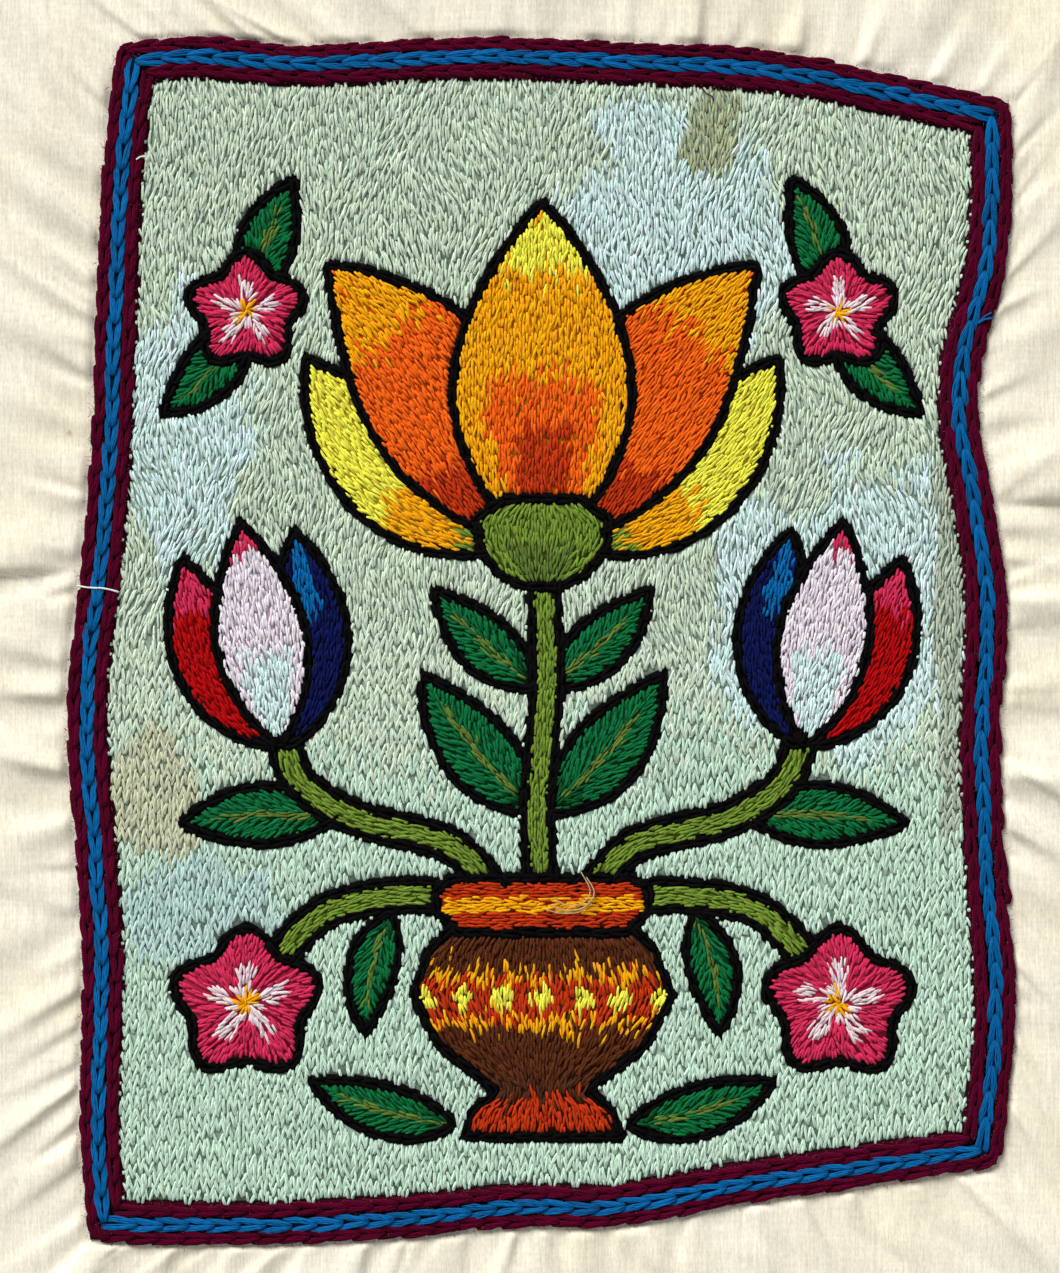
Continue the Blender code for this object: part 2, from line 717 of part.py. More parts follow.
def main() -> None:
    """Build the whole panel."""
    clear_scene()
    build_cloth()
    build_border_row("border_outer_row", ROW_PITCH, "maroon", True)
    build_border_row("border_middle_row", 0.0, "blue", False)
    build_border_row("border_inner_row", -ROW_PITCH, "maroon", False)
    build_picture()


main()
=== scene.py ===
"""Dress the embroidered panel with puckered cloth, chain-stitch rows and filling stitches.

Sizes are millimetres in the panel's own frame, with +X to the picture's right, +Y to its top and
+Z out of its face, and they become metres in the meshes. The picture is a vase of flowers whose
two sides mirror each other about the line x = AXIS_X.
"""

import logging
import math
from dataclasses import dataclass
from enum import Enum
from typing import NamedTuple

import bmesh
import bpy
import numpy as np
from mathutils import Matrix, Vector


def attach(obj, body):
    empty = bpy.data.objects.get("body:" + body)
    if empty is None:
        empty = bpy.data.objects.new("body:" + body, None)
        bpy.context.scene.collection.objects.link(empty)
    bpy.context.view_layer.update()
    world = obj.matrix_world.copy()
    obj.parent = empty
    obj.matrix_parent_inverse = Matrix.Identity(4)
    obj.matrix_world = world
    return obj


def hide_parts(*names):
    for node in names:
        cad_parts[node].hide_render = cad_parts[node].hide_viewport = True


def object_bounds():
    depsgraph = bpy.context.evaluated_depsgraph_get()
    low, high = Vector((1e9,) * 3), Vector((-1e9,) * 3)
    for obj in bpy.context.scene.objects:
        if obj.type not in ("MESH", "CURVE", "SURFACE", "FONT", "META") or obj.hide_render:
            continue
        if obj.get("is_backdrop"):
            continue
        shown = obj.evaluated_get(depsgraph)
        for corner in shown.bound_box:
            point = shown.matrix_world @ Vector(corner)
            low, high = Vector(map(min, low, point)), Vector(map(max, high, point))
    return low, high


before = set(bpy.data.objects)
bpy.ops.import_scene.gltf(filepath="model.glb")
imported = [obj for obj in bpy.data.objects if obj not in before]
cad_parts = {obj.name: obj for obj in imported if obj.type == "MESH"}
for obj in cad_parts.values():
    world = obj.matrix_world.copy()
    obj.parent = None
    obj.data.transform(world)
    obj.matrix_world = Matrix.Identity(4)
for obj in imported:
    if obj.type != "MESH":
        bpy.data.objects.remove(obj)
cad_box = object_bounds()

log = logging.getLogger("tapestry_panel")

Array = np.ndarray
Socket = bpy.types.NodeSocket
Stations = tuple[int, int, int, int]
Route = tuple[tuple[float, float], ...]
METRES_PER_MM = 0.001
SEED = 4361
AXIS_X = 3.0
DEEPEST = 6.0
CLOTH_FACE = 1.0
TINY = 1e-12
RIPPLE_WAVES = 7
RIPPLE_LENGTHS = (0.6, 1.7)
RIPPLE_HEIGHT = 3.2
BODY = "root"
NO_QUADS = np.zeros((0, 4), dtype=int)
NO_TRIANGLES = np.zeros((0, 3), dtype=int)


class Dye(Enum):
    """The colours of threads and cloth, as screen values from 0 to 255."""

    SAGE = (209, 226, 202)
    MINT = (200, 228, 206)
    ICE = (216, 241, 236)
    AQUA = (190, 219, 212)
    BEIGE = (205, 208, 176)
    MOSS = (176, 186, 148)
    STRIP = (184, 196, 175)
    # Painted shade: the dark green of the ground's bed plate, seen in the gaps between stitches.
    SHADED_BED = (84, 104, 82)
    MAROON = (90, 2, 38)
    BLUE = (0, 102, 166)
    BLACK = (9, 7, 7)
    RUST = (192, 54, 12)
    BROWN = (90, 44, 18)
    UMBER = (78, 42, 22)
    OLIVE = (116, 146, 50)
    OLIVE_DARK = (96, 122, 50)
    GOLD = (255, 174, 10)
    ORANGE = (248, 104, 18)
    LEMON = (246, 240, 78)
    LAVENDER = (238, 229, 236)
    NAVY = (6, 18, 78)
    RED = (180, 2, 6)
    PINK = (212, 48, 90)
    PALE = (240, 218, 222)
    EMERALD = (8, 110, 58)
    FOREST = (4, 80, 38)
    CREAM = (235, 228, 209)
    WHITE = (250, 250, 246)
    STRAW = (204, 188, 138)
    FUZZ = (160, 92, 108)

    @property
    def linear(self) -> Array:
        """Return the colour as linear light."""
        share = np.array(self.value) / 255.0
        return np.where(share <= 0.04045, share / 12.92, ((share + 0.055) / 1.055) ** 2.4)


class Side(Enum):
    """The four sides of the border, in the order in which it runs."""

    TOP = 0
    RIGHT = 1
    BOTTOM = 2
    LEFT = 3

    @property
    def outward(self) -> float:
        """Return the sign of the way out of the picture across this side."""
        return 1.0 if self in (Side.TOP, Side.RIGHT) else -1.0

    @property
    def onward(self) -> float:
        """Return the sign of the way that drifting folds move along this side."""
        return 1.0 if self in (Side.TOP, Side.LEFT) else -1.0


class Fold(NamedTuple):
    """A fold of the margin; a roll of 1 or -1 gives it one steep side that ends in a crease."""

    along: float
    drift: float
    height: float
    width: float
    roll: int = 0


class Band(NamedTuple):
    """A colour inside a motif, from one share of its length to another and so far across."""

    dye: Dye
    start: float
    end: float
    reach: float = 2.0


# The border's middle row: how far along its side each point lies, and where across.
BORDER_SIDES: dict[Side, Route] = {
    Side.TOP: (
        (-106.0, 136.6), (-82.0, 139.0), (-57.0, 137.4), (-10.0, 139.0), (28.0, 137.5),
        (49.0, 136.5), (69.0, 134.0), (89.0, 129.7), (118.0, 123.0),
    ),
    Side.RIGHT: (
        (-130.0, 107.2), (-115.0, 109.4), (-92.0, 111.6), (-54.0, 109.4), (-28.0, 108.2),
        (11.0, 109.4), (33.0, 106.3), (55.0, 103.0), (66.0, 103.6), (88.0, 109.2), (132.0, 110.8),
    ),
    Side.BOTTOM: (
        (-110.0, -140.4), (-62.0, -141.0), (-30.0, -139.3), (0.0, -136.7), (16.0, -136.9),
        (49.0, -131.6), (81.0, -127.1), (116.0, -121.8),
    ),
    Side.LEFT: (
        (-148.0, -101.0), (-128.0, -103.0), (-68.0, -103.0), (-49.0, -104.4), (-24.0, -106.3),
        (-12.0, -106.3), (11.0, -103.7), (32.0, -101.6), (84.0, -99.1), (112.0, -97.9), (144.0, -94.0),
    ),
}

FOLDS: dict[Side, tuple[Fold, ...]] = {
    Side.TOP: (
        Fold(-62.0, 4.0, 1.2, 7.0), Fold(-34.0, 9.0, 1.6, 6.0), Fold(3.0, 8.0, 1.7, 6.5),
        Fold(46.0, -6.0, 1.3, 9.0), Fold(84.0, 5.0, 1.6, 6.0),
    ),
    Side.RIGHT: (
        Fold(122.0, 16.0, 2.0, 6.5), Fold(101.0, 6.0, 0.6, 7.0), Fold(86.0, 9.0, 0.8, 7.5),
        Fold(62.0, 2.0, 1.0, 6.0), Fold(34.0, -8.0, 3.0, 5.5, 1), Fold(8.0, -2.0, 1.0, 6.0),
        Fold(-29.0, -5.0, 2.2, 4.5, 1), Fold(-50.0, -3.0, 1.3, 5.0), Fold(-70.0, -4.0, 1.1, 5.0),
        Fold(-90.0, -9.0, 1.6, 5.5), Fold(-108.0, -12.0, 1.4, 5.0),
    ),
    Side.BOTTOM: (
        Fold(104.0, 14.0, 2.4, 6.5), Fold(81.0, 3.0, 1.7, 6.0), Fold(44.0, 2.0, 1.0, 8.0),
        Fold(0.0, -2.0, 1.6, 6.5), Fold(-46.0, -3.0, 1.1, 8.0), Fold(-92.0, -12.0, 1.7, 7.0),
    ),
    Side.LEFT: (
        Fold(-106.0, -5.0, 1.5, 6.5), Fold(-87.0, -2.0, 1.0, 5.0), Fold(-66.0, 1.0, 1.4, 5.0),
        Fold(-46.0, 1.0, 0.9, 5.0), Fold(-30.0, 0.0, 1.1, 5.0), Fold(-2.0, 1.0, 1.3, 5.5),
        Fold(18.0, -5.0, 3.0, 5.0, -1), Fold(39.0, 3.0, 1.4, 5.0), Fold(51.0, 3.0, 1.3, 4.5),
        Fold(66.0, 4.0, 1.5, 5.0), Fold(80.0, 6.0, 1.2, 4.5), Fold(94.0, 10.0, 1.7, 5.0),
        Fold(109.0, 12.0, 1.5, 5.0), Fold(124.0, 17.0, 1.8, 6.0),
    ),
}


def unit(vectors: Array) -> Array:
    """Return vectors scaled to length one along their last axis."""
    return vectors / np.maximum(np.linalg.norm(vectors, axis=-1, keepdims=True), 1e-9)


def headed(angles: Array) -> Array:
    """Return the plane vectors of length one that point along angles in radians."""
    return np.stack((np.cos(angles), np.sin(angles)), axis=-1)


def leftward(vectors: Array) -> Array:
    """Return plane vectors turned a quarter turn to the left."""
    return np.stack((-vectors[..., 1], vectors[..., 0]), axis=-1)


def raised(flat: Array, level: Array | float) -> Array:
    """Return points of the picture with their heights as a third column."""
    return np.concatenate((flat, np.broadcast_to(level, flat.shape[:-1])[..., None]), axis=-1)


def read_line(wanted: Array, known: Array, points: Array) -> Array:
    """Return the points at wanted places along straight lines between known ones."""
    return np.stack([np.interp(wanted, known, points[:, axis]) for axis in (0, 1)], axis=-1)


def smooth_curve(known: Array, values: Array, wanted: Array) -> Array:
    """Read a curve that passes through known values.

    Between two known values it is the cubic that has their mean slopes at its ends.

    Args:
        known: Rising places of the known values.
        values: The value, or row of values, at each place.
        wanted: The places to read.

    Returns:
        The values at the wanted places.
    """
    slopes = np.gradient(values, known, axis=0)
    span = np.clip(np.searchsorted(known, wanted) - 1, 0, len(known) - 2)
    reach = known[span + 1] - known[span]
    part = (wanted - known[span]) / reach
    if values.ndim > 1:
        part = part[:, None]
        reach = reach[:, None]
    start = (1 + 2 * part) * (1 - part) ** 2 * values[span]
    end = part**2 * (3 - 2 * part) * values[span + 1]
    leave = part * (1 - part) ** 2 * reach * slopes[span]
    arrive = part**2 * (part - 1) * reach * slopes[span + 1]
    return start + end + leave + arrive


def through(route: Route, stations: int) -> Array:
    """Return evenly read points on the smooth curve through a route's points."""
    places = np.linspace(0.0, 1.0, len(route))
    return smooth_curve(places, np.array(route), np.linspace(0.0, 1.0, stations))


def step_up(values: Array, low: float, high: float) -> Array:
    """Return 0 below low and 1 above high, with a smooth cubic rise between them."""
    part = np.clip((values - low) / (high - low), 0.0, 1.0)
    return part * part * (3.0 - 2.0 * part)


def ripples(points: Array, size: float, seed: int) -> Array:
    """Return an uneven field of about -1 to 1: sine waves in odd directions, added up.

    Args:
        points: Points in the picture, in millimetres.
        size: About how far apart the swells lie.
        seed: Which field.

    Returns:
        One number for each point.
    """
    chance = np.random.default_rng(SEED + seed)
    total = np.zeros(points.shape[:-1])
    for _ in range(RIPPLE_WAVES):
        angle = chance.uniform(0.0, math.tau)
        pace = math.tau / (size * chance.uniform(*RIPPLE_LENGTHS))
        run = points[..., 0] * math.cos(angle) + points[..., 1] * math.sin(angle)
        total += np.sin(run * pace + chance.uniform(0.0, math.tau))
    return total / RIPPLE_HEIGHT


def depth_in(points: Array, outline: Array) -> Array:
    """Return how deep each point lies inside a closed outline, and negative outside it.

    It is the distance to the nearest side of the outline. The sign comes from how many sides a
    line to the right of the point crosses: an odd number is inside.

    Args:
        points: Points, shape (n, 2).
        outline: Corners in order, shape (m, 2).

    Returns:
        Depths in millimetres, no lower than -DEEPEST.
    """
    low = outline.min(axis=0) - DEEPEST
    high = outline.max(axis=0) + DEEPEST
    near = np.flatnonzero(np.all((points > low) & (points < high), axis=1))
    depth = np.full(len(points), -DEEPEST)
    after = np.roll(outline, -1, axis=0)
    side = after - outline
    length = np.maximum((side**2).sum(axis=1), TINY)
    rise = np.where(np.abs(side[:, 1]) < TINY, TINY, side[:, 1])
    for chunk in np.array_split(near, 1 + len(near) // 4000):
        away = points[chunk, None, :] - outline
        share = np.clip((away * side).sum(axis=2) / length, 0.0, 1.0)
        gap = np.linalg.norm(away - share[..., None] * side, axis=2).min(axis=1)
        level = points[chunk, None, 1]
        passes = (outline[:, 1] > level) != (after[:, 1] > level)
        crossing = outline[:, 0] + (level - outline[:, 1]) / rise * side[:, 0]
        odd = (passes & (points[chunk, None, 0] < crossing)).sum(axis=1) % 2 == 1
        depth[chunk] = np.where(odd, gap, -np.minimum(gap, DEEPEST))
    return depth


class Track:
    """A line in the picture that is read by the distance along it."""

    BLUR = 0.9
    SPARE = 4.0

    def __init__(self, points: Array, closed: bool) -> None:
        """Measure the line, and run an open one on straight past both its ends.

        Args:
            points: Points along it, shape (n, 2).
            closed: Whether the last point joins the first.
        """
        self.closed = closed
        self.lead = 0.0 if closed else self.SPARE
        if closed:
            points = np.concatenate((points, points[:1]))
        else:
            before = points[0] - unit(points[1] - points[0]) * self.lead
            beyond = points[-1] + unit(points[-1] - points[-2]) * self.lead
            points = np.concatenate((before[None], points, beyond[None]))
        steps = np.linalg.norm(np.diff(points, axis=0), axis=1)
        self.points = points
        self.reach = np.concatenate(([0.0], np.cumsum(steps)))
        self.length = float(self.reach[-1]) - 2.0 * self.lead

    def place(self, distance: Array) -> Array:
        """Return the point at each distance along the line."""
        read = np.mod(distance, self.length) if self.closed else distance + self.lead
        return read_line(read, self.reach, self.points)

    def left(self, distance: Array) -> Array:
        """Return the direction to the left of the line, averaged over a short stretch."""
        return leftward(unit(self.place(distance + self.BLUR) - self.place(distance - self.BLUR)))


class Border:
    """The route of the border, worked clockwise from the top left corner."""

    CROSSING_STEPS = 12
    CORNERS = (
        (Side.TOP, Side.LEFT),
        (Side.TOP, Side.RIGHT),
        (Side.BOTTOM, Side.RIGHT),
        (Side.BOTTOM, Side.LEFT),
    )

    def across(self, side: Side, along: Array) -> Array:
        """Return where a side of the middle row lies across, at each distance along it."""
        known, values = np.array(BORDER_SIDES[side]).T
        return smooth_curve(known, values, along)

    def corner(self, level: Side, upright: Side, outwards: float) -> tuple[float, float]:
        """Find where two sides cross once both are moved outwards.

        Args:
            level: The top or the bottom.
            upright: The left or the right.
            outwards: How far out, in millimetres.

        Returns:
            The crossing's x and y.
        """
        rise = level.outward * outwards
        shift = upright.outward * outwards
        x = float(np.array(BORDER_SIDES[upright])[:, 1].mean()) + shift
        y = 0.0
        for _ in range(self.CROSSING_STEPS):
            y = float(self.across(level, np.array([x]))[0]) + rise
            x = float(self.across(upright, np.array([y]))[0]) + shift
        return x, y

    def sides(self, outwards: float, stations: Stations) -> list[Array]:
        """Return points along each side in turn, moved outwards from the middle row.

        Args:
            outwards: How far out, in millimetres.
            stations: How many points each side has; its end belongs to the next side.

        Returns:
            Four arrays of points.
        """
        corners = [self.corner(level, upright, outwards) for level, upright in self.CORNERS]
        made = []
        for side in Side:
            axis = side.value % 2
            start = corners[side.value][axis]
            end = corners[(side.value + 1) % 4][axis]
            along = np.linspace(start, end, stations[side.value], endpoint=False)
            across = self.across(side, along) + side.outward * outwards
            made.append(np.stack((across, along) if axis else (along, across), axis=1))
        return made

    def loop(self, outwards: float, stations: Stations) -> Array:
        """Return points all the way round, moved outwards from the middle row."""
        return np.concatenate(self.sides(outwards, stations))


class Wiring:
    """Places and joins the nodes of one node tree."""

    def __init__(self, tree: bpy.types.NodeTree) -> None:
        """Keep the tree that the nodes go into."""
        self.tree = tree

    def feed(self, sockets: bpy.types.bpy_prop_collection, given: dict[str | int, object]) -> None:
        """Link another node's output to each named socket, or write a plain value on it.

        Args:
            sockets: A node's inputs.
            given: The output or the value for each input, by its name or number.
        """
        for key, value in given.items():
            if isinstance(value, Socket):
                self.tree.links.new(value, sockets[key])
            else:
                sockets[key].default_value = value

    def node(self, kind: str, given: dict[str | int, object], **settings: object) -> bpy.types.Node:
        """Add a node, set its properties and then feed its inputs.

        Args:
            kind: The node's type.
            given: The output or the value for each input, by its name or number.
            settings: The node's properties.

        Returns:
            The node.
        """
        made = self.tree.nodes.new(kind)
        for name, value in settings.items():
            setattr(made, name, value)
        self.feed(made.inputs, given)
        return made

    def maths(self, operation: str, first: object, second: object = 0.0) -> Socket:
        """Add a math node on one or two numbers and return its result."""
        return self.node("ShaderNodeMath", {0: first, 1: second}, operation=operation).outputs[0]

    def plus(self, first: object, second: object) -> Socket:
        """Return the sum of two numbers."""
        return self.maths("ADD", first, second)

    def less(self, first: object, second: object) -> Socket:
        """Return the first number less the second."""
        return self.maths("SUBTRACT", first, second)

    def times(self, first: object, second: object) -> Socket:
        """Return the product of two numbers."""
        return self.maths("MULTIPLY", first, second)

    def span(self, value: object, low: float, high: float) -> Socket:
        """Return 0 below low and 1 above high, rising evenly between."""
        given = {"Value": value, "From Min": low, "From Max": high}
        return self.node("ShaderNodeMapRange", given, clamp=True).outputs["Result"]

    def tint(self, kind: str, share: object, first: object, second: object) -> Socket:
        """Return the second colour over the first, by a share and a kind such as MULTIPLY."""
        given = {0: share, 6: first, 7: second}
        return self.node("ShaderNodeMix", given, data_type="RGBA", blend_type=kind).outputs[2]

    def grey(self, value: object) -> Socket:
        """Turn a number into a grey colour."""
        return self.node("ShaderNodeCombineColor", {0: value, 1: value, 2: value}).outputs[0]

    def noise(self, place: object, scale: float, detail: float) -> Socket:
        """Return soft noise of about 0 to 1 at a place."""
        given = {"Vector": place, "Scale": scale, "Detail": detail}
        return self.node("ShaderNodeTexNoise", given).outputs["Fac"]

    def stretch(self, place: object, scale: tuple[float, float, float]) -> Socket:
        """Scale a place along its three axes."""
        return self.node("ShaderNodeMapping", {"Vector": place, "Scale": scale}).outputs["Vector"]

    def bump(self, height: Socket, depth: float, strength: float) -> Socket:
        """Return the normal of a surface with this height, as deep as depth in millimetres."""
        given = {"Strength": strength, "Distance": depth * METRES_PER_MM, "Height": height}
        return self.node("ShaderNodeBump", given).outputs["Normal"]


def new_group(name: str, inputs: dict[str, str], outputs: dict[str, str]) -> Wiring:
    """Start a node group.

    Args:
        name: The group's name.
        inputs: The kind of each input, by its name.
        outputs: The kind of each output, by its name.

    Returns:
        The wiring of the empty group.
    """
    group = bpy.data.node_groups.new(name, "ShaderNodeTree")
    for way, sockets in (("INPUT", inputs), ("OUTPUT", outputs)):
        for socket, kind in sockets.items():
            group.interface.new_socket(socket, in_out=way, socket_type=f"NodeSocket{kind}")
    return Wiring(group)


def new_material(name: str) -> tuple[bpy.types.Material, Wiring, bpy.types.bpy_prop_collection]:
    """Return a new material, the wiring of its nodes and its shader's inputs."""
    made = bpy.data.materials.new(name)
    made.use_nodes = True
    return made, Wiring(made.node_tree), made.node_tree.nodes["Principled BSDF"].inputs


def thread_group() -> bpy.types.NodeTree:
    """Build, once, the group that draws a thread's plies and fibres.

    Plies are a sine wave that climbs round the thread as it runs along it, and the colour is
    darkened in the grooves between them, painted shade. Fibres are noise stretched along the
    thread. A parting that sways from side to side divides the thread into two strands: a dip in
    the height, and a dark line painted into the colour as shade. All read the thread's own lay:
    the distance along it, the place across it, and a number of its own.

    Returns:
        The node group, with a colour and a height as outputs.
    """
    name = "thread_plies"
    if name in bpy.data.node_groups:
        return bpy.data.node_groups[name]
    traits = dict.fromkeys(("Turns", "Slant", "Groove", "Fibre", "Split"), "Float")
    looks = {"Colour": "Color", "Height": "Float"}
    wires = new_group(name, {"Colour": "Color", "Lay": "Vector", **traits}, looks)
    given = wires.node("NodeGroupInput", {}).outputs
    along, across, own = wires.node("ShaderNodeSeparateXYZ", {0: given["Lay"]}).outputs
    start = wires.times(own, 9.0)
    climb = wires.plus(wires.times(along, given["Turns"]), wires.times(across, given["Slant"]))
    wave = wires.maths("SINE", wires.times(wires.plus(climb, start), math.tau))
    ply = wires.plus(wires.times(wave, 0.5), 0.5)
    hair = wires.noise(wires.stretch(given["Lay"], (0.9, 3.2, 40.0)), 2.2, 3.0)
    spread = wires.times(wires.less(hair, 0.5), given["Fibre"])
    # Painted shade: the colour is darkened in the grooves between plies, as deep as Groove.
    shade = wires.less(1.0, wires.times(wires.less(1.0, ply), given["Groove"]))
    # Painted shade: a dark line along the parting between the two strands, as deep as Split; it also lowers
    # the height.
    sway = wires.maths("SINE", wires.plus(wires.times(along, 0.8), start))
    aside = wires.less(across, wires.times(sway, 0.3))
    parting = wires.span(wires.maths("ABSOLUTE", aside), 0.34, 0.0)
    strands = wires.less(1.0, wires.times(parting, given["Split"]))
    tone = wires.maths("MAXIMUM", wires.plus(wires.times(shade, strands), spread), 0.0)
    colour = wires.tint("MULTIPLY", 1.0, given["Colour"], wires.grey(tone))
    height = wires.times(wires.plus(ply, spread), strands)
    wires.node("NodeGroupOutput", {"Colour": colour, "Height": height})
    return wires.tree


@dataclass(frozen=True)
class ThreadFinish:
    """One kind of thread: how it shines, how its plies twist and how hairy it is."""

    name: str
    roughness: float = 0.66
    sheen: float = 0.015
    shine: float = 0.06
    turns: float = 0.5
    slant: float = 0.5
    # How deep the painted shade in the grooves between plies is.
    groove: float = 0.1
    fibre: float = 0.3
    # How deep the painted shade along the parting between two strands is; it also lowers the height.
    split: float = 0.42
    relief: float = 0.1

    def material(self) -> bpy.types.Material:
        """Return the thread's material, built once.

        Its colour, darkened where the mesh paints shade at thread tips and chain notches, and its lay come
        from the mesh. A ply's crown is a little smoother than the groove beside it.

        Returns:
            The material.
        """
        if self.name in bpy.data.materials:
            return bpy.data.materials[self.name]
        made, wires, shader = new_material(self.name)
        dye = wires.node("ShaderNodeAttribute", {}, attribute_name="thread_colour")
        lay = wires.node("ShaderNodeAttribute", {}, attribute_name="lay")
        traits = {
            "Colour": dye.outputs["Color"],
            "Lay": lay.outputs["Vector"],
            "Turns": self.turns,
            "Slant": self.slant,
            "Groove": self.groove,
            "Fibre": self.fibre,
            "Split": self.split,
        }
        plies = wires.node("ShaderNodeGroup", traits, node_tree=thread_group()).outputs
        looks = {
            "Base Color": plies["Colour"],
            "Roughness": wires.less(self.roughness + 0.06, wires.times(plies["Height"], 0.12)),
            "Normal": wires.bump(plies["Height"], self.relief, 0.6),
            "Specular IOR Level": self.shine,
            "Sheen Weight": self.sheen,
            "Sheen Roughness": 0.5,
        }
        wires.feed(shader, looks)
        return made


COTTON_FLOSS = ThreadFinish("cotton_floss")
PALE_FLOSS = ThreadFinish("pale_cotton_floss", groove=0.08, split=0.5)
BLACK_FLOSS = ThreadFinish(
    "black_cotton_floss", roughness=0.8, sheen=0.0, shine=0.05, groove=0.3, fibre=0.5, split=0.0
)
WOOL_YARN = ThreadFinish("wool_yarn", 0.88, 0.02, 0.03, 0.55, 0.8, 0.4, 0.8, split=0.0, relief=0.2)
SIX_STRAND_FLOSS = ThreadFinish("six_strand_floss", 0.6, 0.01, 0.08, 0.4, 0.8, 0.15, 0.4, split=0.3)


@dataclass(frozen=True)
class ClothFinish:
    """Plain-weave cotton, with thicker threads here and there and one rusty speck."""

    name: str = "cream_cotton_cloth"
    dye: Dye = Dye.CREAM
    warmth: tuple[float, float, float] = (0.97, 0.94, 0.87)
    rust: tuple[float, float, float] = (0.56, 0.30, 0.12)
    pitch: float = 0.42
    relief: float = 0.12
    speck: tuple[float, float] = (-110.4, 48.8)
    speck_edge: tuple[float, float] = (1.5, 0.8)

    def weave_group(self) -> bpy.types.NodeTree:
        """Build the group that draws the weave.

        Warp and weft are two sine waves, multiplied so that they cross over and under. Streaks
        are noise stretched along the warp and, more weakly, along the weft.

        Returns:
            The node group, with a tone and a height as outputs.
        """
        looks = {"Tone": "Float", "Height": "Float"}
        wires = new_group("cotton_weave", {"Place": "Vector", "Pitch": "Float"}, looks)
        given = wires.node("NodeGroupInput", {}).outputs
        place = given["Place"]
        x, y, _ = wires.node("ShaderNodeSeparateXYZ", {0: place}).outputs
        sway = wires.noise(place, 0.35, 2.0)
        pace = wires.maths("DIVIDE", math.tau, given["Pitch"])
        warp = wires.maths("SINE", wires.times(wires.plus(x, wires.times(sway, 1.3)), pace))
        weft = wires.maths("SINE", wires.times(wires.plus(y, wires.times(sway, 1.1)), pace))
        cross = wires.plus(wires.times(wires.times(warp, weft), 0.25), 0.5)
        up = wires.noise(wires.stretch(place, (1.9, 0.11, 1.0)), 1.0, 3.0)
        level = wires.noise(wires.stretch(place, (0.1, 1.3, 1.0)), 1.0, 3.0)
        fine = wires.noise(wires.stretch(place, (2.6, 0.8, 1.0)), 1.0, 2.0)
        streaks = wires.plus(wires.times(up, 0.7), wires.times(level, 0.3))
        tone = wires.plus(wires.times(streaks, 0.6), wires.times(fine, 0.4))
        height = wires.plus(wires.times(cross, 0.6), tone)
        wires.node("NodeGroupOutput", {"Tone": tone, "Height": height})
        return wires.tree

    def material(self) -> bpy.types.Material:
        """Return the cloth's material: the woven cream, with warmer blotches and the speck.

        Returns:
            The material.
        """
        made, wires, shader = new_material(self.name)
        here = wires.node("ShaderNodeTexCoord", {}).outputs["Object"]
        place = wires.stretch(here, (1.0 / METRES_PER_MM,) * 3)
        traits = {"Place": place, "Pitch": self.pitch}
        weave = wires.node("ShaderNodeGroup", traits, node_tree=self.weave_group())
        cream = tuple(self.dye.linear)
        warm = tuple(tone * share for tone, share in zip(cream, self.warmth))
        blotch = wires.span(wires.noise(place, 0.028, 3.0), 0.35, 0.72)
        base = wires.tint("MIX", blotch, (*cream, 1.0), (*warm, 1.0))
        tone = wires.plus(wires.times(weave.outputs["Tone"], 1.1), 0.45)
        woven = wires.tint("MULTIPLY", 1.0, base, wires.grey(tone))
        spots = {0: wires.stretch(place, (1.0, 1.0, 0.0)), 1: (*self.speck, 0.0)}
        apart = wires.node("ShaderNodeVectorMath", spots, operation="DISTANCE")
        edge = wires.plus(apart.outputs["Value"], wires.noise(place, 1.4, 2.0))
        mark = wires.times(wires.span(edge, *self.speck_edge), 0.55)
        looks = {
            "Base Color": wires.tint("MIX", mark, woven, (*self.rust, 1.0)),
            "Normal": wires.bump(weave.outputs["Height"], self.relief, 0.5),
            "Roughness": 0.88,
            "Specular IOR Level": 0.15,
            "Sheen Weight": 0.12,
        }
        wires.feed(shader, looks)
        return made


def mesh_object(name: str, points: Array, quads: Array, triangles: Array) -> bpy.types.Object:
    """Put whole arrays of points and faces into a new smooth mesh object at the origin.

    Args:
        name: The object's name.
        points: Points in millimetres, shape (n, 3).
        quads: Point numbers of four-sided faces, shape (q, 4).
        triangles: Point numbers of triangles, shape (t, 3).

    Returns:
        The new object, in the scene.
    """
    mesh = bpy.data.meshes.new(name)
    corners = np.concatenate((quads.ravel(), triangles.ravel()))
    totals = np.repeat((4, 3), (len(quads), len(triangles)))
    starts = np.concatenate(([0], np.cumsum(totals)[:-1]))
    mesh.vertices.add(len(points))
    mesh.loops.add(len(corners))
    mesh.polygons.add(len(totals))
    mesh.vertices.foreach_set("co", (points * METRES_PER_MM).astype(np.float32).ravel())
    mesh.loops.foreach_set("vertex_index", corners.astype(np.int32))
    mesh.polygons.foreach_set("loop_start", starts.astype(np.int32))
    mesh.polygons.foreach_set("use_smooth", np.ones(len(totals), dtype=bool))
    mesh.update(calc_edges=True)
    mesh.validate()
    made = bpy.data.objects.new(name, mesh)
    bpy.context.scene.collection.objects.link(made)
    return made


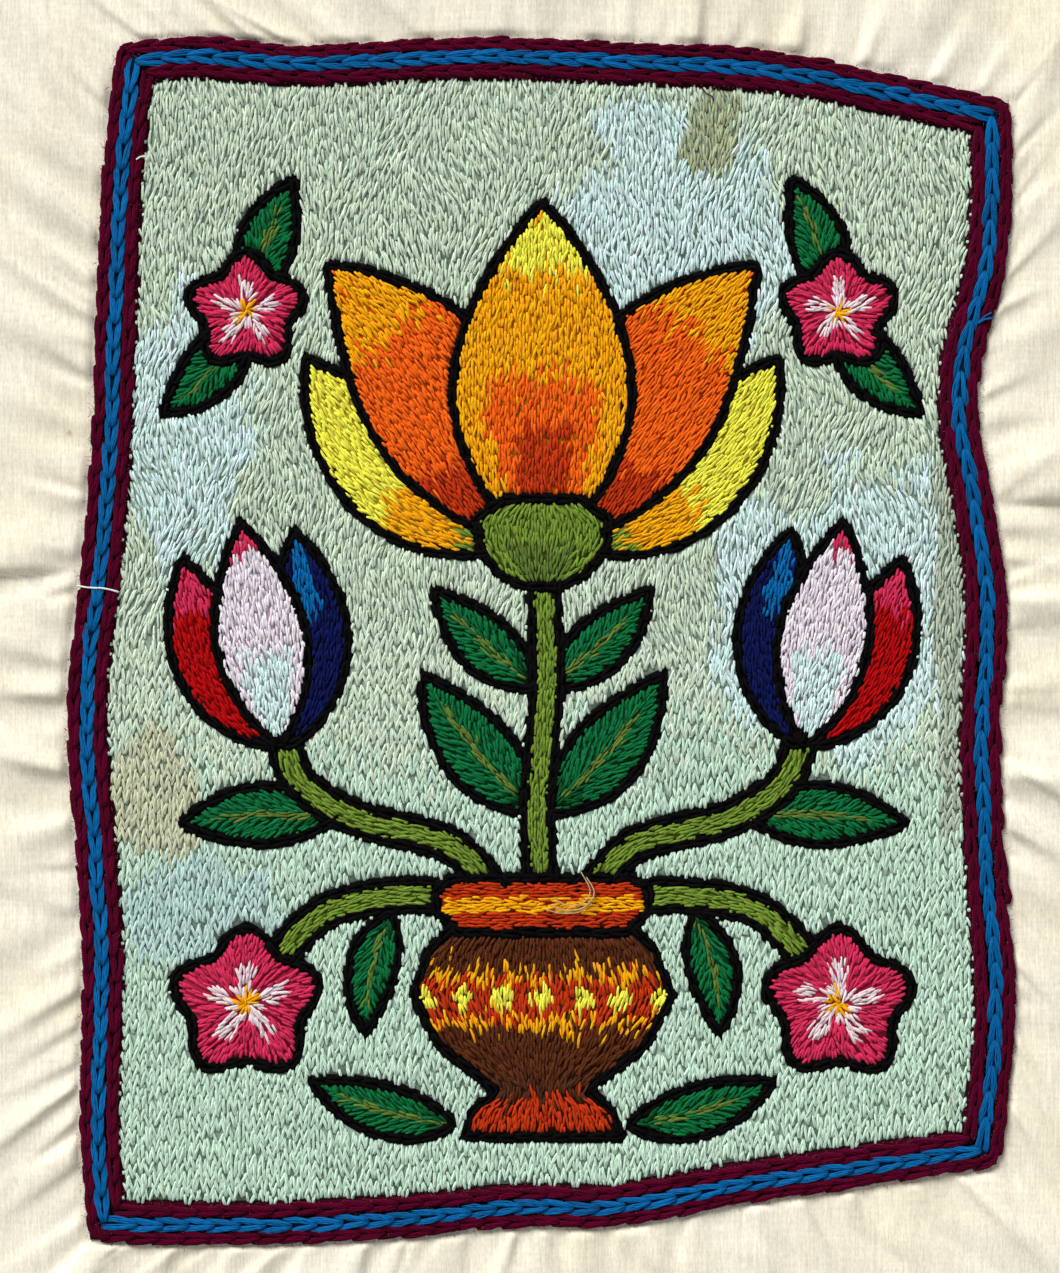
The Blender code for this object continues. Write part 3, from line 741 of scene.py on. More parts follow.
class ThreadPile:
    """Threads gathered as whole arrays, which end up in one mesh."""

    SECTION = np.array(((1.0, 0.0), (0.55, 0.86), (-0.55, 0.86), (-1.0, 0.0)))

    def __init__(self, seed: int) -> None:
        """Start with no threads, and with chance numbers of the pile's own."""
        self.chance = np.random.default_rng(SEED + seed)
        self.parts: list[tuple[Array, ...]] = []
        self.count = 0

    def keep(self, points: Array, quads: Array, triangles: Array, colours: Array, lays: Array) -> None:
        """Add points and the faces that join them.

        Args:
            points: Points in millimetres, shape (n, 3).
            quads: Four-sided faces, numbered from the first of the points.
            triangles: Triangles, numbered likewise.
            colours: A linear colour for each point, or one for all.
            lays: The lay of each point, or one for all.
        """
        spread = (np.broadcast_to(rows, points.shape) for rows in (colours, lays))
        self.parts.append((points, quads + self.count, triangles + self.count, *spread))
        self.count += len(points)

    def add_backing(self, node: str, squeeze: float, colour: Array) -> None:
        """Add the flat packed stitching under a patch: a thinner copy of a CAD node.

        The copy is merged first and lies on the cloth's face. Its heights above its own
        underside are multiplied by squeeze.

        Args:
            node: The node's name.
            squeeze: What share of the thickness is kept.
            colour: Its linear colour. The motifs and the ground pass their dye darkened, painted shade that
                shows in the gaps between stitches; the black rows pass their own black.
        """
        shape = bmesh.new()
        shape.from_mesh(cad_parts[node].data)
        bmesh.ops.remove_doubles(shape, verts=shape.verts, dist=1e-6)
        bmesh.ops.triangulate(shape, faces=shape.faces)
        bmesh.ops.recalc_face_normals(shape, faces=shape.faces)
        merged = bpy.data.meshes.new("merged")
        shape.to_mesh(merged)
        shape.free()
        points = np.empty(3 * len(merged.vertices))
        merged.vertices.foreach_get("co", points)
        triangles = np.empty(3 * len(merged.polygons), dtype=np.int32)
        merged.loops.foreach_get("vertex_index", triangles)
        bpy.data.meshes.remove(merged)
        points = points.reshape(-1, 3) / METRES_PER_MM
        points[:, 2] = CLOTH_FACE + (points[:, 2] - points[:, 2].min()) * squeeze
        self.keep(points, NO_QUADS, triangles.reshape(-1, 3), colour, points * (1.0, 1.0, 0.0))

    def add_threads(
        self, middles: Array, half_widths: Array, heights: Array, colours: Array, shading: Array
    ) -> None:
        """Add closed threads with a half-round section and a point at each end.

        At each station between the ends the section has four points: the two sides, at the
        middle line's level, and two on top, each placed across the line's own heading.

        Args:
            middles: Middle lines, shape (threads, stations, 3).
            half_widths: Half the width at each station, shape (threads, stations).
            heights: The height at each station, shape (threads, stations).
            colours: One colour for each thread, shape (threads, 3).
            shading: The painted shade at each station: the share of the thread's colour that is kept there.
        """
        amount, stations, _ = middles.shape
        if amount == 0:
            return
        rings = stations - 2
        left = leftward(unit(np.gradient(middles[..., :2], axis=1)))[:, 1:-1, None]
        inner = middles[:, 1:-1, None]
        ring = np.empty((amount, rings, 4, 3))
        ring[..., :2] = inner[..., :2] + left * half_widths[:, 1:-1, None, None] * self.SECTION[:, :1]
        ring[..., 2] = inner[..., 2] + heights[:, 1:-1, None] * self.SECTION[:, 1]
        rows = (middles[:, :1], ring.reshape(amount, rings * 4, 3), middles[:, -1:])
        points = np.concatenate(rows, axis=1)
        each = rings * 4 + 2
        around = np.arange(4)
        beside = np.roll(around, -1)
        start = 1 + 4 * np.arange(rings - 1)[:, None]
        corners = (start + around, start + beside, start + 4 + beside, start + 4 + around)
        quads = np.stack(corners, axis=-1).reshape(1, -1, 4)
        end = 1 + 4 * (rings - 1)
        first = np.stack((np.zeros(4, dtype=int), 1 + beside, 1 + around), axis=-1)
        last = np.stack((np.full(4, each - 1), end + around, end + beside), axis=-1)
        tips = np.concatenate((first, last))[None]
        shift = (np.arange(amount) * each)[:, None, None]
        steps = np.linalg.norm(np.diff(middles, axis=1), axis=2)
        lays = np.zeros((amount, each, 3))
        reach = np.cumsum(steps, axis=1)
        lays[:, 1:-1, 0] = np.repeat(reach[:, :-1], 4, axis=1)
        lays[:, -1, 0] = reach[:, -1]
        lays[:, 1:-1, 1] = np.tile(self.SECTION[:, 0], rings)
        lays[..., 2] = self.chance.random((amount, 1))
        # Painted shade: each point's colour is darkened by the shading of its station.
        shade = np.concatenate((shading[:1], np.repeat(shading[1:-1], 4), shading[-1:]))
        tinted = colours[:, None, :] * shade[:, None]
        faces = ((quads + shift).reshape(-1, 4), (tips + shift).reshape(-1, 3))
        self.keep(points.reshape(-1, 3), *faces, tinted.reshape(-1, 3), lays.reshape(-1, 3))

    def varied(self, colours: Array, spread: float) -> Array:
        """Return colours made a little lighter, darker, warmer or cooler, each by chance."""
        tone = self.chance.normal(1.0, spread, (len(colours), 1))
        hue = self.chance.normal(1.0, 0.14 * spread, (len(colours), 3))
        return np.clip(colours * tone * hue, 0.0, 0.95)

    def build(
        self, name: str, finish: ThreadFinish, slot: str, nodes: tuple[str, ...]
    ) -> bpy.types.Object:
        """Make the pile's mesh, dress it and let it ride on the panel.

        Args:
            name: The piece's name.
            finish: The thread it is made of.
            slot: The record's material slot that it stands for; not used.
            nodes: The CAD nodes that it replaces.

        Returns:
            The finished piece.
        """
        points, quads, triangles, colours, lays = (np.concatenate(rows) for rows in zip(*self.parts))
        made = mesh_object(name, points, quads, triangles)
        # The colour attribute holds the dye with the painted shade already multiplied in.
        dye = made.data.attributes.new("thread_colour", "FLOAT_COLOR", "POINT")
        opaque = np.column_stack((colours, np.ones(len(points))))
        dye.data.foreach_set("color", opaque.astype(np.float32).ravel())
        lay = made.data.attributes.new("lay", "FLOAT_VECTOR", "POINT")
        lay.data.foreach_set("vector", lays.astype(np.float32).ravel())
        made.data.materials.append(finish.material())
        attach(made, BODY)
        if nodes:
            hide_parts(*nodes)
        log.info("%s: %d triangles", name, 2 * len(quads) + len(triangles))
        return made


def tipped(stations: int, tip: float = 0.62) -> Array:
    """Return the painted shade along a thread at each station: full colour, but darker at its two tips."""
    return np.concatenate(([tip], np.ones(stations - 2), [tip]))


@dataclass(frozen=True)
class ChainStitch:
    """A row of chain stitch, each link a pointed start that opens into a round end.

    The lists run along one link, in shares of its pitch: how far its two legs spread, how high
    they stand, how tightly their strands are squeezed and how much painted shade darkens their
    colour, most at the pointed start. The next link starts inside the round end and passes over
    it, so that a row looks like a plait.
    """

    pitch: float
    spread: float
    strands: tuple[float, ...]
    half_width: float
    thickness: float
    base: float
    rise: float
    unevenness: float
    along: tuple[float, ...] = (-0.06, 0.08, 0.3, 0.55, 0.8, 1.05, 1.3, 1.45)
    opening: tuple[float, ...] = (0.02, 0.24, 0.52, 0.76, 0.92, 1.08, 1.0, 0.7)
    lift: tuple[float, ...] = (0.45, 1.0, 1.12, 1.0, 0.84, 0.64, 0.45, 0.3)
    squeeze: tuple[float, ...] = (0.2, 0.42, 0.72, 0.92, 1.0, 0.9, 0.9, 0.8)
    # Painted shade: darkest at the pointed start, which stands for the dark notch where a link meets the
    # last.
    shading: tuple[float, ...] = (0.32, 0.8, 1.0, 1.0, 1.0, 0.95, 0.85, 0.7)
    plump: tuple[float, ...] = (0.5, 0.8, 1.0, 1.0, 1.0, 0.95, 0.85, 0.6)

    LAST_LINK = 0.3
    CROWN = 0.14
    WANDER = 0.12
    SWAY = 0.06
    BREADTH = 0.1
    SIZE = 0.04
    TONE = 0.07

    def starts(self, track: Track) -> tuple[Array, float]:
        """Share a track out into whole links; return where they start and their pitch."""
        spare = 0.0 if track.closed else self.LAST_LINK
        amount = max(1, round(track.length / self.pitch - spare))
        pitch = track.length / (amount + spare)
        return np.arange(amount) * pitch, pitch

    def work(self, pile: ThreadPile, track: Track, starts: Array, pitch: float, colour: Array) -> None:
        """Work links along a track.

        A strand's place is its link's start plus its share of the pitch. It lies to the left or
        right of the track by the opening times the spread, plus its own place in the leg.

        Args:
            pile: The pile that takes the strands.
            track: The line that the row follows.
            starts: Where each link starts along it.
            pitch: The distance from one link to the next.
            colour: The thread's colour.
        """
        chance = pile.chance
        each = (len(starts), 1)
        if len(starts) == 0:
            return
        lists = (self.along, self.opening, self.lift, self.squeeze, self.shading, self.plump)
        along, opening, lift, squeeze, shading, plump = (np.array(row) for row in lists)
        outermost = max(self.strands[-1], 0.1)
        wander = chance.normal(0.0, self.WANDER * self.unevenness, each)
        tinted = colour * chance.normal(1.0, self.TONE, each)
        for leg in (-1.0, 1.0):
            breadth = self.spread * (1.0 + chance.normal(0.0, self.BREADTH * self.unevenness, each))
            size = chance.normal(1.0, self.SIZE * self.unevenness, each) * plump
            for number, strand in enumerate(self.strands):
                shares = along + 0.05 * strand / outermost * (squeeze > 0.85)
                distance = starts[:, None] + shares * pitch
                sway = chance.normal(0.0, self.SWAY * self.unevenness, distance.shape)
                aside = leg * (opening * breadth + strand * squeeze) + wander + sway
                flat = track.place(distance) + track.left(distance) * aside[..., None]
                crown = self.CROWN * math.cos(math.pi * strand / (2.0 * outermost + 0.4))
                level = self.base + (self.rise + crown) * lift + chance.normal(0.0, 0.03, each)
                colours = pile.varied(tinted, 0.05 + 0.01 * number)
                widths = self.half_width * size
                pile.add_threads(raised(flat, level), widths, self.thickness * size, colours, shading)


FLOSS_CHAIN = ChainStitch(
    pitch=6.2,
    spread=1.04,
    strands=(-0.54, -0.18, 0.18, 0.54),
    half_width=0.27,
    thickness=0.5,
    base=1.64,
    rise=0.85,
    unevenness=1.2,
)
YARN_CHAIN = ChainStitch(
    pitch=6.0,
    spread=0.86,
    strands=(-0.38, 0.0, 0.38),
    half_width=0.43,
    thickness=0.72,
    base=1.45,
    rise=0.62,
    unevenness=1.6,
)
THIN_CHAIN = ChainStitch(
    pitch=4.3,
    spread=0.7,
    strands=(0.0,),
    half_width=0.62,
    thickness=0.42,
    base=1.2,
    rise=0.38,
    unevenness=1.2,
    along=(-0.05, 0.2, 0.5, 0.8, 1.1, 1.3),
    opening=(0.05, 0.45, 0.8, 0.98, 1.0, 0.7),
    lift=(0.5, 1.05, 1.05, 0.85, 0.55, 0.3),
    squeeze=(0.3, 0.65, 0.95, 1.0, 0.85, 0.7),
    shading=(0.4, 0.9, 1.0, 1.0, 0.9, 0.7),
    plump=(0.5, 0.9, 1.0, 1.0, 0.9, 0.6),
)


@dataclass(frozen=True)
class Grain:
    """One short straight stitch of a filling, laid many times over."""

    length: float
    half_width: float
    thickness: float
    base: float
    pitch_along: float
    pitch_across: float
    stations: tuple[float, ...] = (-0.5, -0.34, 0.0, 0.34, 0.5)
    plump: tuple[float, ...] = (0.3, 0.86, 1.0, 0.86, 0.3)
    dip: tuple[float, ...] = (-0.4, -0.06, 0.06, -0.06, -0.4)
    scatter: float = 0.2
    paired: bool = False
    # How dark the painted shade at both tips is, where the stitch goes down into the cloth.
    tip_shade: float = 0.62

    MARGIN = 3.0
    FOLLOW = 0.35
    SIDEWAYS = 0.1
    BOW = 0.1
    LIFT = 0.32
    SIZE = 0.09

    def centres(self, outline: Array, turn: float, chance: np.random.Generator) -> tuple[Array, Array]:
        """Spread stitches over the box round an outline.

        They stand in columns along the turned heading. Each column, or each pair of columns,
        starts at a place of its own, and each stitch is then moved a little, by chance.

        Args:
            outline: The outline to cover.
            turn: The columns' heading, in radians.
            chance: Where the chance numbers come from.

        Returns:
            The middles of the stitches, shape (n, 2), and the number of each one's column.
        """
        low = outline.min(axis=0)
        high = outline.max(axis=0)
        middle = 0.5 * (low + high)
        reach = 0.5 * float(np.linalg.norm(high - low)) + self.MARGIN
        across = np.arange(-reach, reach, self.pitch_across)
        along = np.arange(-reach, reach, self.pitch_along)
        side, run = np.meshgrid(across, along, indexing="ij")
        column = np.arange(len(across))
        leader = column - column % 2
        phase = chance.uniform(0.0, self.pitch_along, len(across))
        run = run + phase[leader if self.paired else column][:, None]
        loose = chance.normal(0.0, self.scatter * self.pitch_along, run.shape)
        run = run + (loose[leader] + self.FOLLOW * loose if self.paired else loose)
        side = side + chance.normal(0.0, self.SIDEWAYS * self.pitch_across, side.shape)
        x = middle[0] + run * math.cos(turn) - side * math.sin(turn)
        y = middle[1] + run * math.sin(turn) + side * math.cos(turn)
        return np.stack((x.ravel(), y.ravel()), axis=1), np.repeat(column, len(along))

    def work(self, pile: ThreadPile, starts: Array, ends: Array, colours: Array) -> None:
        """Lay one stitch from each start to each end.

        The middle line is straight but for a slight sideways bow, a parabola, and dips into the
        cloth at both ends.

        Args:
            pile: The pile that takes the stitches.
            starts: Where the stitches come up, shape (n, 2).
            ends: Where they go down, shape (n, 2).
            colours: One colour each, shape (n, 3).
        """
        chance = pile.chance
        each = (len(starts), 1)
        share = np.array(self.stations) + 0.5
        run = ends - starts
        bow = chance.normal(0.0, self.BOW, each) * (4.0 * share * (1.0 - share))
        aside = unit(leftward(run))[:, None] * bow[..., None]
        flat = starts[:, None] + run[:, None] * share[:, None] + aside
        level = self.base + chance.uniform(0.0, self.LIFT, each) + np.array(self.dip)
        size = chance.normal(1.0, self.SIZE, each)
        widths = self.half_width * size * np.array(self.plump)
        heights = self.thickness * size * np.array(self.plump)
        # Painted shade: the colour is darkened at both tips.
        shading = tipped(len(share), self.tip_shade)
        pile.add_threads(raised(flat, level), widths, heights, colours, shading)


@dataclass(frozen=True)
class Motif:
    """A shape of the picture, drawn for its right-hand side and mirrored for its left."""

    name: str
    side: int
    dye: Dye

    @property
    def slot(self) -> str:
        """Return the record's material slot for the motif's thread."""
        return f"{self.dye.name.lower()}_floss"

    def local(self, points: Array) -> Array:
        """Turn the panel's points into the motif's own right-hand drawing."""
        return (points - (AXIS_X, 0.0)) * (self.side, 1.0)

    def outline(self) -> Array:
        """Return the middle line of the motif's black row, in the panel's frame."""
        return self.drawing() * (self.side, 1.0) + (AXIS_X, 0.0)

    def drawing(self) -> Array:
        """Return the outline in the right-hand drawing."""
        raise NotImplementedError

    def turn(self) -> float:
        """Return the heading of the filling's columns in the drawing, in radians."""
        raise NotImplementedError

    def lay(self, local: Array) -> Array:
        """Return the heading of the stitches at points of the drawing, in radians."""
        raise NotImplementedError

    def bands(self) -> tuple[Band, ...]:
        """Return the colours that lie over the motif's main one."""
        return ()

    def measures(self, local: Array) -> tuple[Array, Array]:
        """Return each point's share of the motif's length, and its share across, 0 to 1."""
        raise NotImplementedError

    def colours(self, points: Array, chance: np.random.Generator) -> Array:
        """Return the colour of a stitch at each point.

        The bands are painted in order over the main colour. A little chance in a stitch's place
        mixes the colours where two bands meet.

        Args:
            points: The middles of the stitches, in the panel's frame.
            chance: Where the chance numbers come from.

        Returns:
            Linear colours, shape (n, 3).
        """
        found = np.tile(self.dye.linear, (len(points), 1))
        along, across = self.measures(self.local(points))
        along = along + chance.normal(0.0, 0.028, len(points))
        across = np.abs(across) + chance.normal(0.0, 0.05, len(points))
        for band in self.bands():
            within = (along > band.start) & (along < band.end) & (across < band.reach)
            found[within] = band.dye.linear
        return found


class BladeStyle(Enum):
    """How a blade is filled: the fan or slant of its stitches, and the colours over its own."""

    LEAF = "leaf"
    HEART = "heart"
    FLAME = "flame"
    RAY = "ray"
    BUD = "bud"
    DUSK = "dusk"
    EMBER = "ember"


BLADE_BANDS = {
    BladeStyle.LEAF: (Band(Dye.FOREST, 0.0, 0.2), Band(Dye.OLIVE_DARK, 0.06, 0.78, 0.13)),
    BladeStyle.HEART: (
        Band(Dye.ORANGE, 0.0, 0.5, 0.62),
        Band(Dye.RUST, 0.0, 0.36, 0.34),
        Band(Dye.LEMON, 0.8, 1.0),
    ),
    BladeStyle.FLAME: (Band(Dye.RUST, 0.0, 0.3), Band(Dye.GOLD, 0.72, 1.0)),
    BladeStyle.RAY: (Band(Dye.GOLD, 0.0, 0.42), Band(Dye.OLIVE, 0.0, 0.16)),
    BladeStyle.BUD: (Band(Dye.ICE, 0.0, 0.4, 0.6), Band(Dye.PINK, 0.88, 1.0)),
    BladeStyle.DUSK: (Band(Dye.BLUE, 0.62, 1.0, 0.42),),
    BladeStyle.EMBER: (Band(Dye.PINK, 0.74, 1.0),),
}


@dataclass(frozen=True)
class Blade(Motif):
    """A petal or leaf, pointed at both ends, whose middle line bends evenly."""

    x: float
    y: float
    heading: float
    length: float
    width: float
    bend: float
    style: BladeStyle

    STEPS = 40
    STATIONS = 31
    LEAN = 0.9
    FULLNESS = 0.85
    LEAST_HALF = 1.5
    LEAF_SLANT = math.radians(30.0)
    PETAL_FAN = math.radians(15.0)

    def spine(self) -> tuple[Array, Array, Array]:
        """Return the middle line: its shares of the length, its points and its headings."""
        share = np.linspace(0.0, 1.0, self.STEPS + 1)
        angle = np.radians(self.heading + self.bend * share)
        moves = np.cumsum(headed(angle[:-1]) * (self.length / self.STEPS), axis=0)
        return share, np.concatenate((np.zeros((1, 2)), moves)) + (self.x, self.y), angle

    def half(self, share: Array) -> Array:
        """Return the half width, a sine arch a little fuller towards the base."""
        arch = np.maximum(np.sin(math.pi * np.clip(share, 0.0, 1.0) ** self.LEAN), 0.0)
        return 0.5 * self.width * arch**self.FULLNESS

    def drawing(self) -> Array:
        """Return the outline: the middle line moved to the right, and back on the left."""
        share, middle, angle = self.spine()
        wanted = 0.5 - 0.5 * np.cos(np.linspace(0.0, math.pi, self.STATIONS))
        point = read_line(wanted, share, middle)
        left = leftward(headed(np.interp(wanted, share, angle))) * self.half(wanted)[:, None]
        return np.concatenate((point - left, (point + left)[-2:0:-1]))

    def nearest(self, local: Array) -> tuple[Array, Array, Array]:
        """Measure points against the middle line.

        Args:
            local: Points of the drawing.

        Returns:
            The share along, the share of the half width to the left, and the heading.
        """
        share, middle, angle = self.spine()
        away = local[:, None, :] - middle
        closest = np.argmin((away**2).sum(axis=2), axis=1)
        here = away[np.arange(len(local)), closest]
        turned = angle[closest]
        left = here[:, 1] * np.cos(turned) - here[:, 0] * np.sin(turned)
        along = share[closest]
        return along, left / np.maximum(self.half(along), self.LEAST_HALF), turned

    def measures(self, local: Array) -> tuple[Array, Array]:
        """Return the share along the blade and the share of its half width."""
        return self.nearest(local)[:2]

    def turn(self) -> float:
        """Return the heading half way along."""
        return math.radians(self.heading + 0.5 * self.bend)

    def lay(self, local: Array) -> Array:
        """Return the stitches' heading: a leaf's slant from its rib, a petal's fan out."""
        along, across, turned = self.nearest(local)
        across = np.clip(across, -1.0, 1.0)
        if self.style is BladeStyle.LEAF:
            return turned + self.LEAF_SLANT * np.sign(across) * step_up(np.abs(across), 0.05, 0.3)
        return turned + self.PETAL_FAN * across * (1.0 - 1.6 * along)

    def bands(self) -> tuple[Band, ...]:
        """Return the colours of the blade's style."""
        return BLADE_BANDS[self.style]


@dataclass(frozen=True)
class Rosette(Motif):
    """A round flower with shallow lobes, stitched outwards from its middle."""

    x: float
    y: float
    radius: float

    LOBES = 5
    FIRST = math.radians(90.0)
    LOBE_DEPTH = 0.14
    STATIONS = 60
    TILT = math.radians(8.0)

    def swell(self, angle: Array) -> Array:
        """Return 1 at the middle of each lobe and -1 between two, a cosine of the angle."""
        return np.cos(self.LOBES * (angle - self.FIRST))

    def edge(self, angle: Array) -> Array:
        """Return the radius at an angle, which swells once for each lobe."""
        return self.radius * (1.0 + self.LOBE_DEPTH * self.swell(angle))

    def drawing(self) -> Array:
        """Return the outline as a polar curve."""
        angle = np.arange(self.STATIONS) * math.tau / self.STATIONS
        return headed(angle) * self.edge(angle)[:, None] + (self.x, self.y)

    def polar(self, local: Array) -> tuple[Array, Array]:
        """Return each point's distance from the middle and its angle there."""
        away = local - (self.x, self.y)
        return np.hypot(away[:, 0], away[:, 1]), np.arctan2(away[:, 1], away[:, 0])

    def measures(self, local: Array) -> tuple[Array, Array]:
        """Return the share of the radius, and how close a point is to a lobe's middle."""
        reach, angle = self.polar(local)
        return reach / self.edge(angle), 0.5 - 0.5 * self.swell(angle)

    def turn(self) -> float:
        """Return an upright heading."""
        return 0.5 * math.pi

    def lay(self, local: Array) -> Array:
        """Return the heading out from the middle, with a slight swirl."""
        return self.polar(local)[1] + self.TILT

    def bands(self) -> tuple[Band, ...]:
        """Return the pale star round a gold middle."""
        star = (Band(Dye.PALE, 0.0, 0.56, 0.42), Band(Dye.PALE, 0.0, 0.34))
        return (*star, Band(Dye.GOLD, 0.0, 0.17))


class PotPart(Enum):
    """The turned shapes on the picture's axis."""

    BODY = "body"
    RIM = "rim"
    CALYX = "calyx"


POT_BANDS = {
    PotPart.BODY: (
        Band(Dye.RUST, -0.1, 0.17),
        Band(Dye.UMBER, 0.17, 0.27),
        Band(Dye.GOLD, 0.50, 0.55),
        Band(Dye.RUST, 0.55, 0.72),
        Band(Dye.GOLD, 0.72, 0.77),
    ),
    PotPart.RIM: (Band(Dye.GOLD, 0.36, 0.64),),
    PotPart.CALYX: (Band(Dye.OLIVE_DARK, 0.0, 0.45, 0.55),),
}


@dataclass(frozen=True)
class Turned(Motif):
    """A shape that is the same on both sides of the picture's axis, such as the pot.

    Its profile holds heights in the picture, from low to high, and the half width at each.
    """

    part: PotPart
    profile: Route

    DIAMOND_PITCH = 9.5
    DIAMOND_LEVEL = 0.635
    DIAMOND_REACH = 0.085

    def girth(self, y: Array) -> Array:
        """Return the half width at each height."""
        levels, girths = np.array(self.profile).T
        return np.interp(y, levels, girths)

    def drawing(self) -> Array:
        """Return the outline: the profile on the right, and back on the left."""
        levels = np.array(self.profile)[:, 0]
        fine = np.interp(np.arange(4 * len(levels) - 3) / 4.0, np.arange(len(levels)), levels)
        right = np.stack((self.girth(fine), fine), axis=1)
        return np.concatenate((right, (right * (-1.0, 1.0))[::-1]))

    def measures(self, local: Array) -> tuple[Array, Array]:
        """Return the share of the height and the share of the half width."""
        low, high = self.profile[0][0], self.profile[-1][0]
        return (local[:, 1] - low) / (high - low), local[:, 0] / self.girth(local[:, 1])

    def turn(self) -> float:
        """Return a level heading for the rim and an upright one for the rest."""
        return 0.0 if self.part is PotPart.RIM else 0.5 * math.pi

    def lay(self, local: Array) -> Array:
        """Return the stitches' heading, which leans as the shape's side does."""
        if self.part is PotPart.RIM:
            return np.zeros(len(local))
        slope = (self.girth(local[:, 1] + 2.0) - self.girth(local[:, 1] - 2.0)) / 4.0
        share = local[:, 0] / self.girth(local[:, 1])
        return np.arctan2(1.0, np.clip(slope * share, -0.9, 0.9))

    def bands(self) -> tuple[Band, ...]:
        """Return the colours of the shape's levels."""
        return POT_BANDS[self.part]

    def colours(self, points: Array, chance: np.random.Generator) -> Array:
        """Return the banded colours, with a row of diamonds round the pot's belly."""
        found = super().colours(points, chance)
        if self.part is PotPart.BODY:
            local = self.local(points)
            share, _ = self.measures(local)
            column = np.abs(np.mod(local[:, 0] / self.DIAMOND_PITCH + 0.5, 1.0) - 0.5) * 2.0
            row = np.abs(share - self.DIAMOND_LEVEL) / self.DIAMOND_REACH
            found[column + row < 0.75] = Dye.LEMON.linear
        return found


@dataclass(frozen=True)
class Stem(Motif):
    """A band of one width along a smooth line."""

    route: Route

    HALF_WIDTH = 3.3

    def middle(self) -> Array:
        """Return points close together along the stem's middle line."""
        return through(self.route, 8 * len(self.route))

    def drawing(self) -> Array:
        """Return the outline: the middle line moved to the right, and back on the left."""
        middle = self.middle()
        left = leftward(unit(np.gradient(middle, axis=0))) * self.HALF_WIDTH
        return np.concatenate((middle - left, (middle + left)[::-1]))

    def nearest(self, local: Array) -> tuple[Array, Array]:
        """Return the share along the stem and the heading at each point."""
        middle = self.middle()
        ahead = np.gradient(middle, axis=0)
        closest = np.argmin(((local[:, None, :] - middle) ** 2).sum(axis=2), axis=1)
        return closest / (len(middle) - 1), np.arctan2(ahead[closest, 1], ahead[closest, 0])

    def measures(self, local: Array) -> tuple[Array, Array]:
        """Return the share along the stem; nothing varies across it."""
        return self.nearest(local)[0], np.zeros(len(local))

    def turn(self) -> float:
        """Return the heading from the stem's first point to its last."""
        run = np.array(self.route[-1]) - np.array(self.route[0])
        return math.atan2(run[1], run[0])

    def lay(self, local: Array) -> Array:
        """Return the stem's own heading."""
        return self.nearest(local)[1]


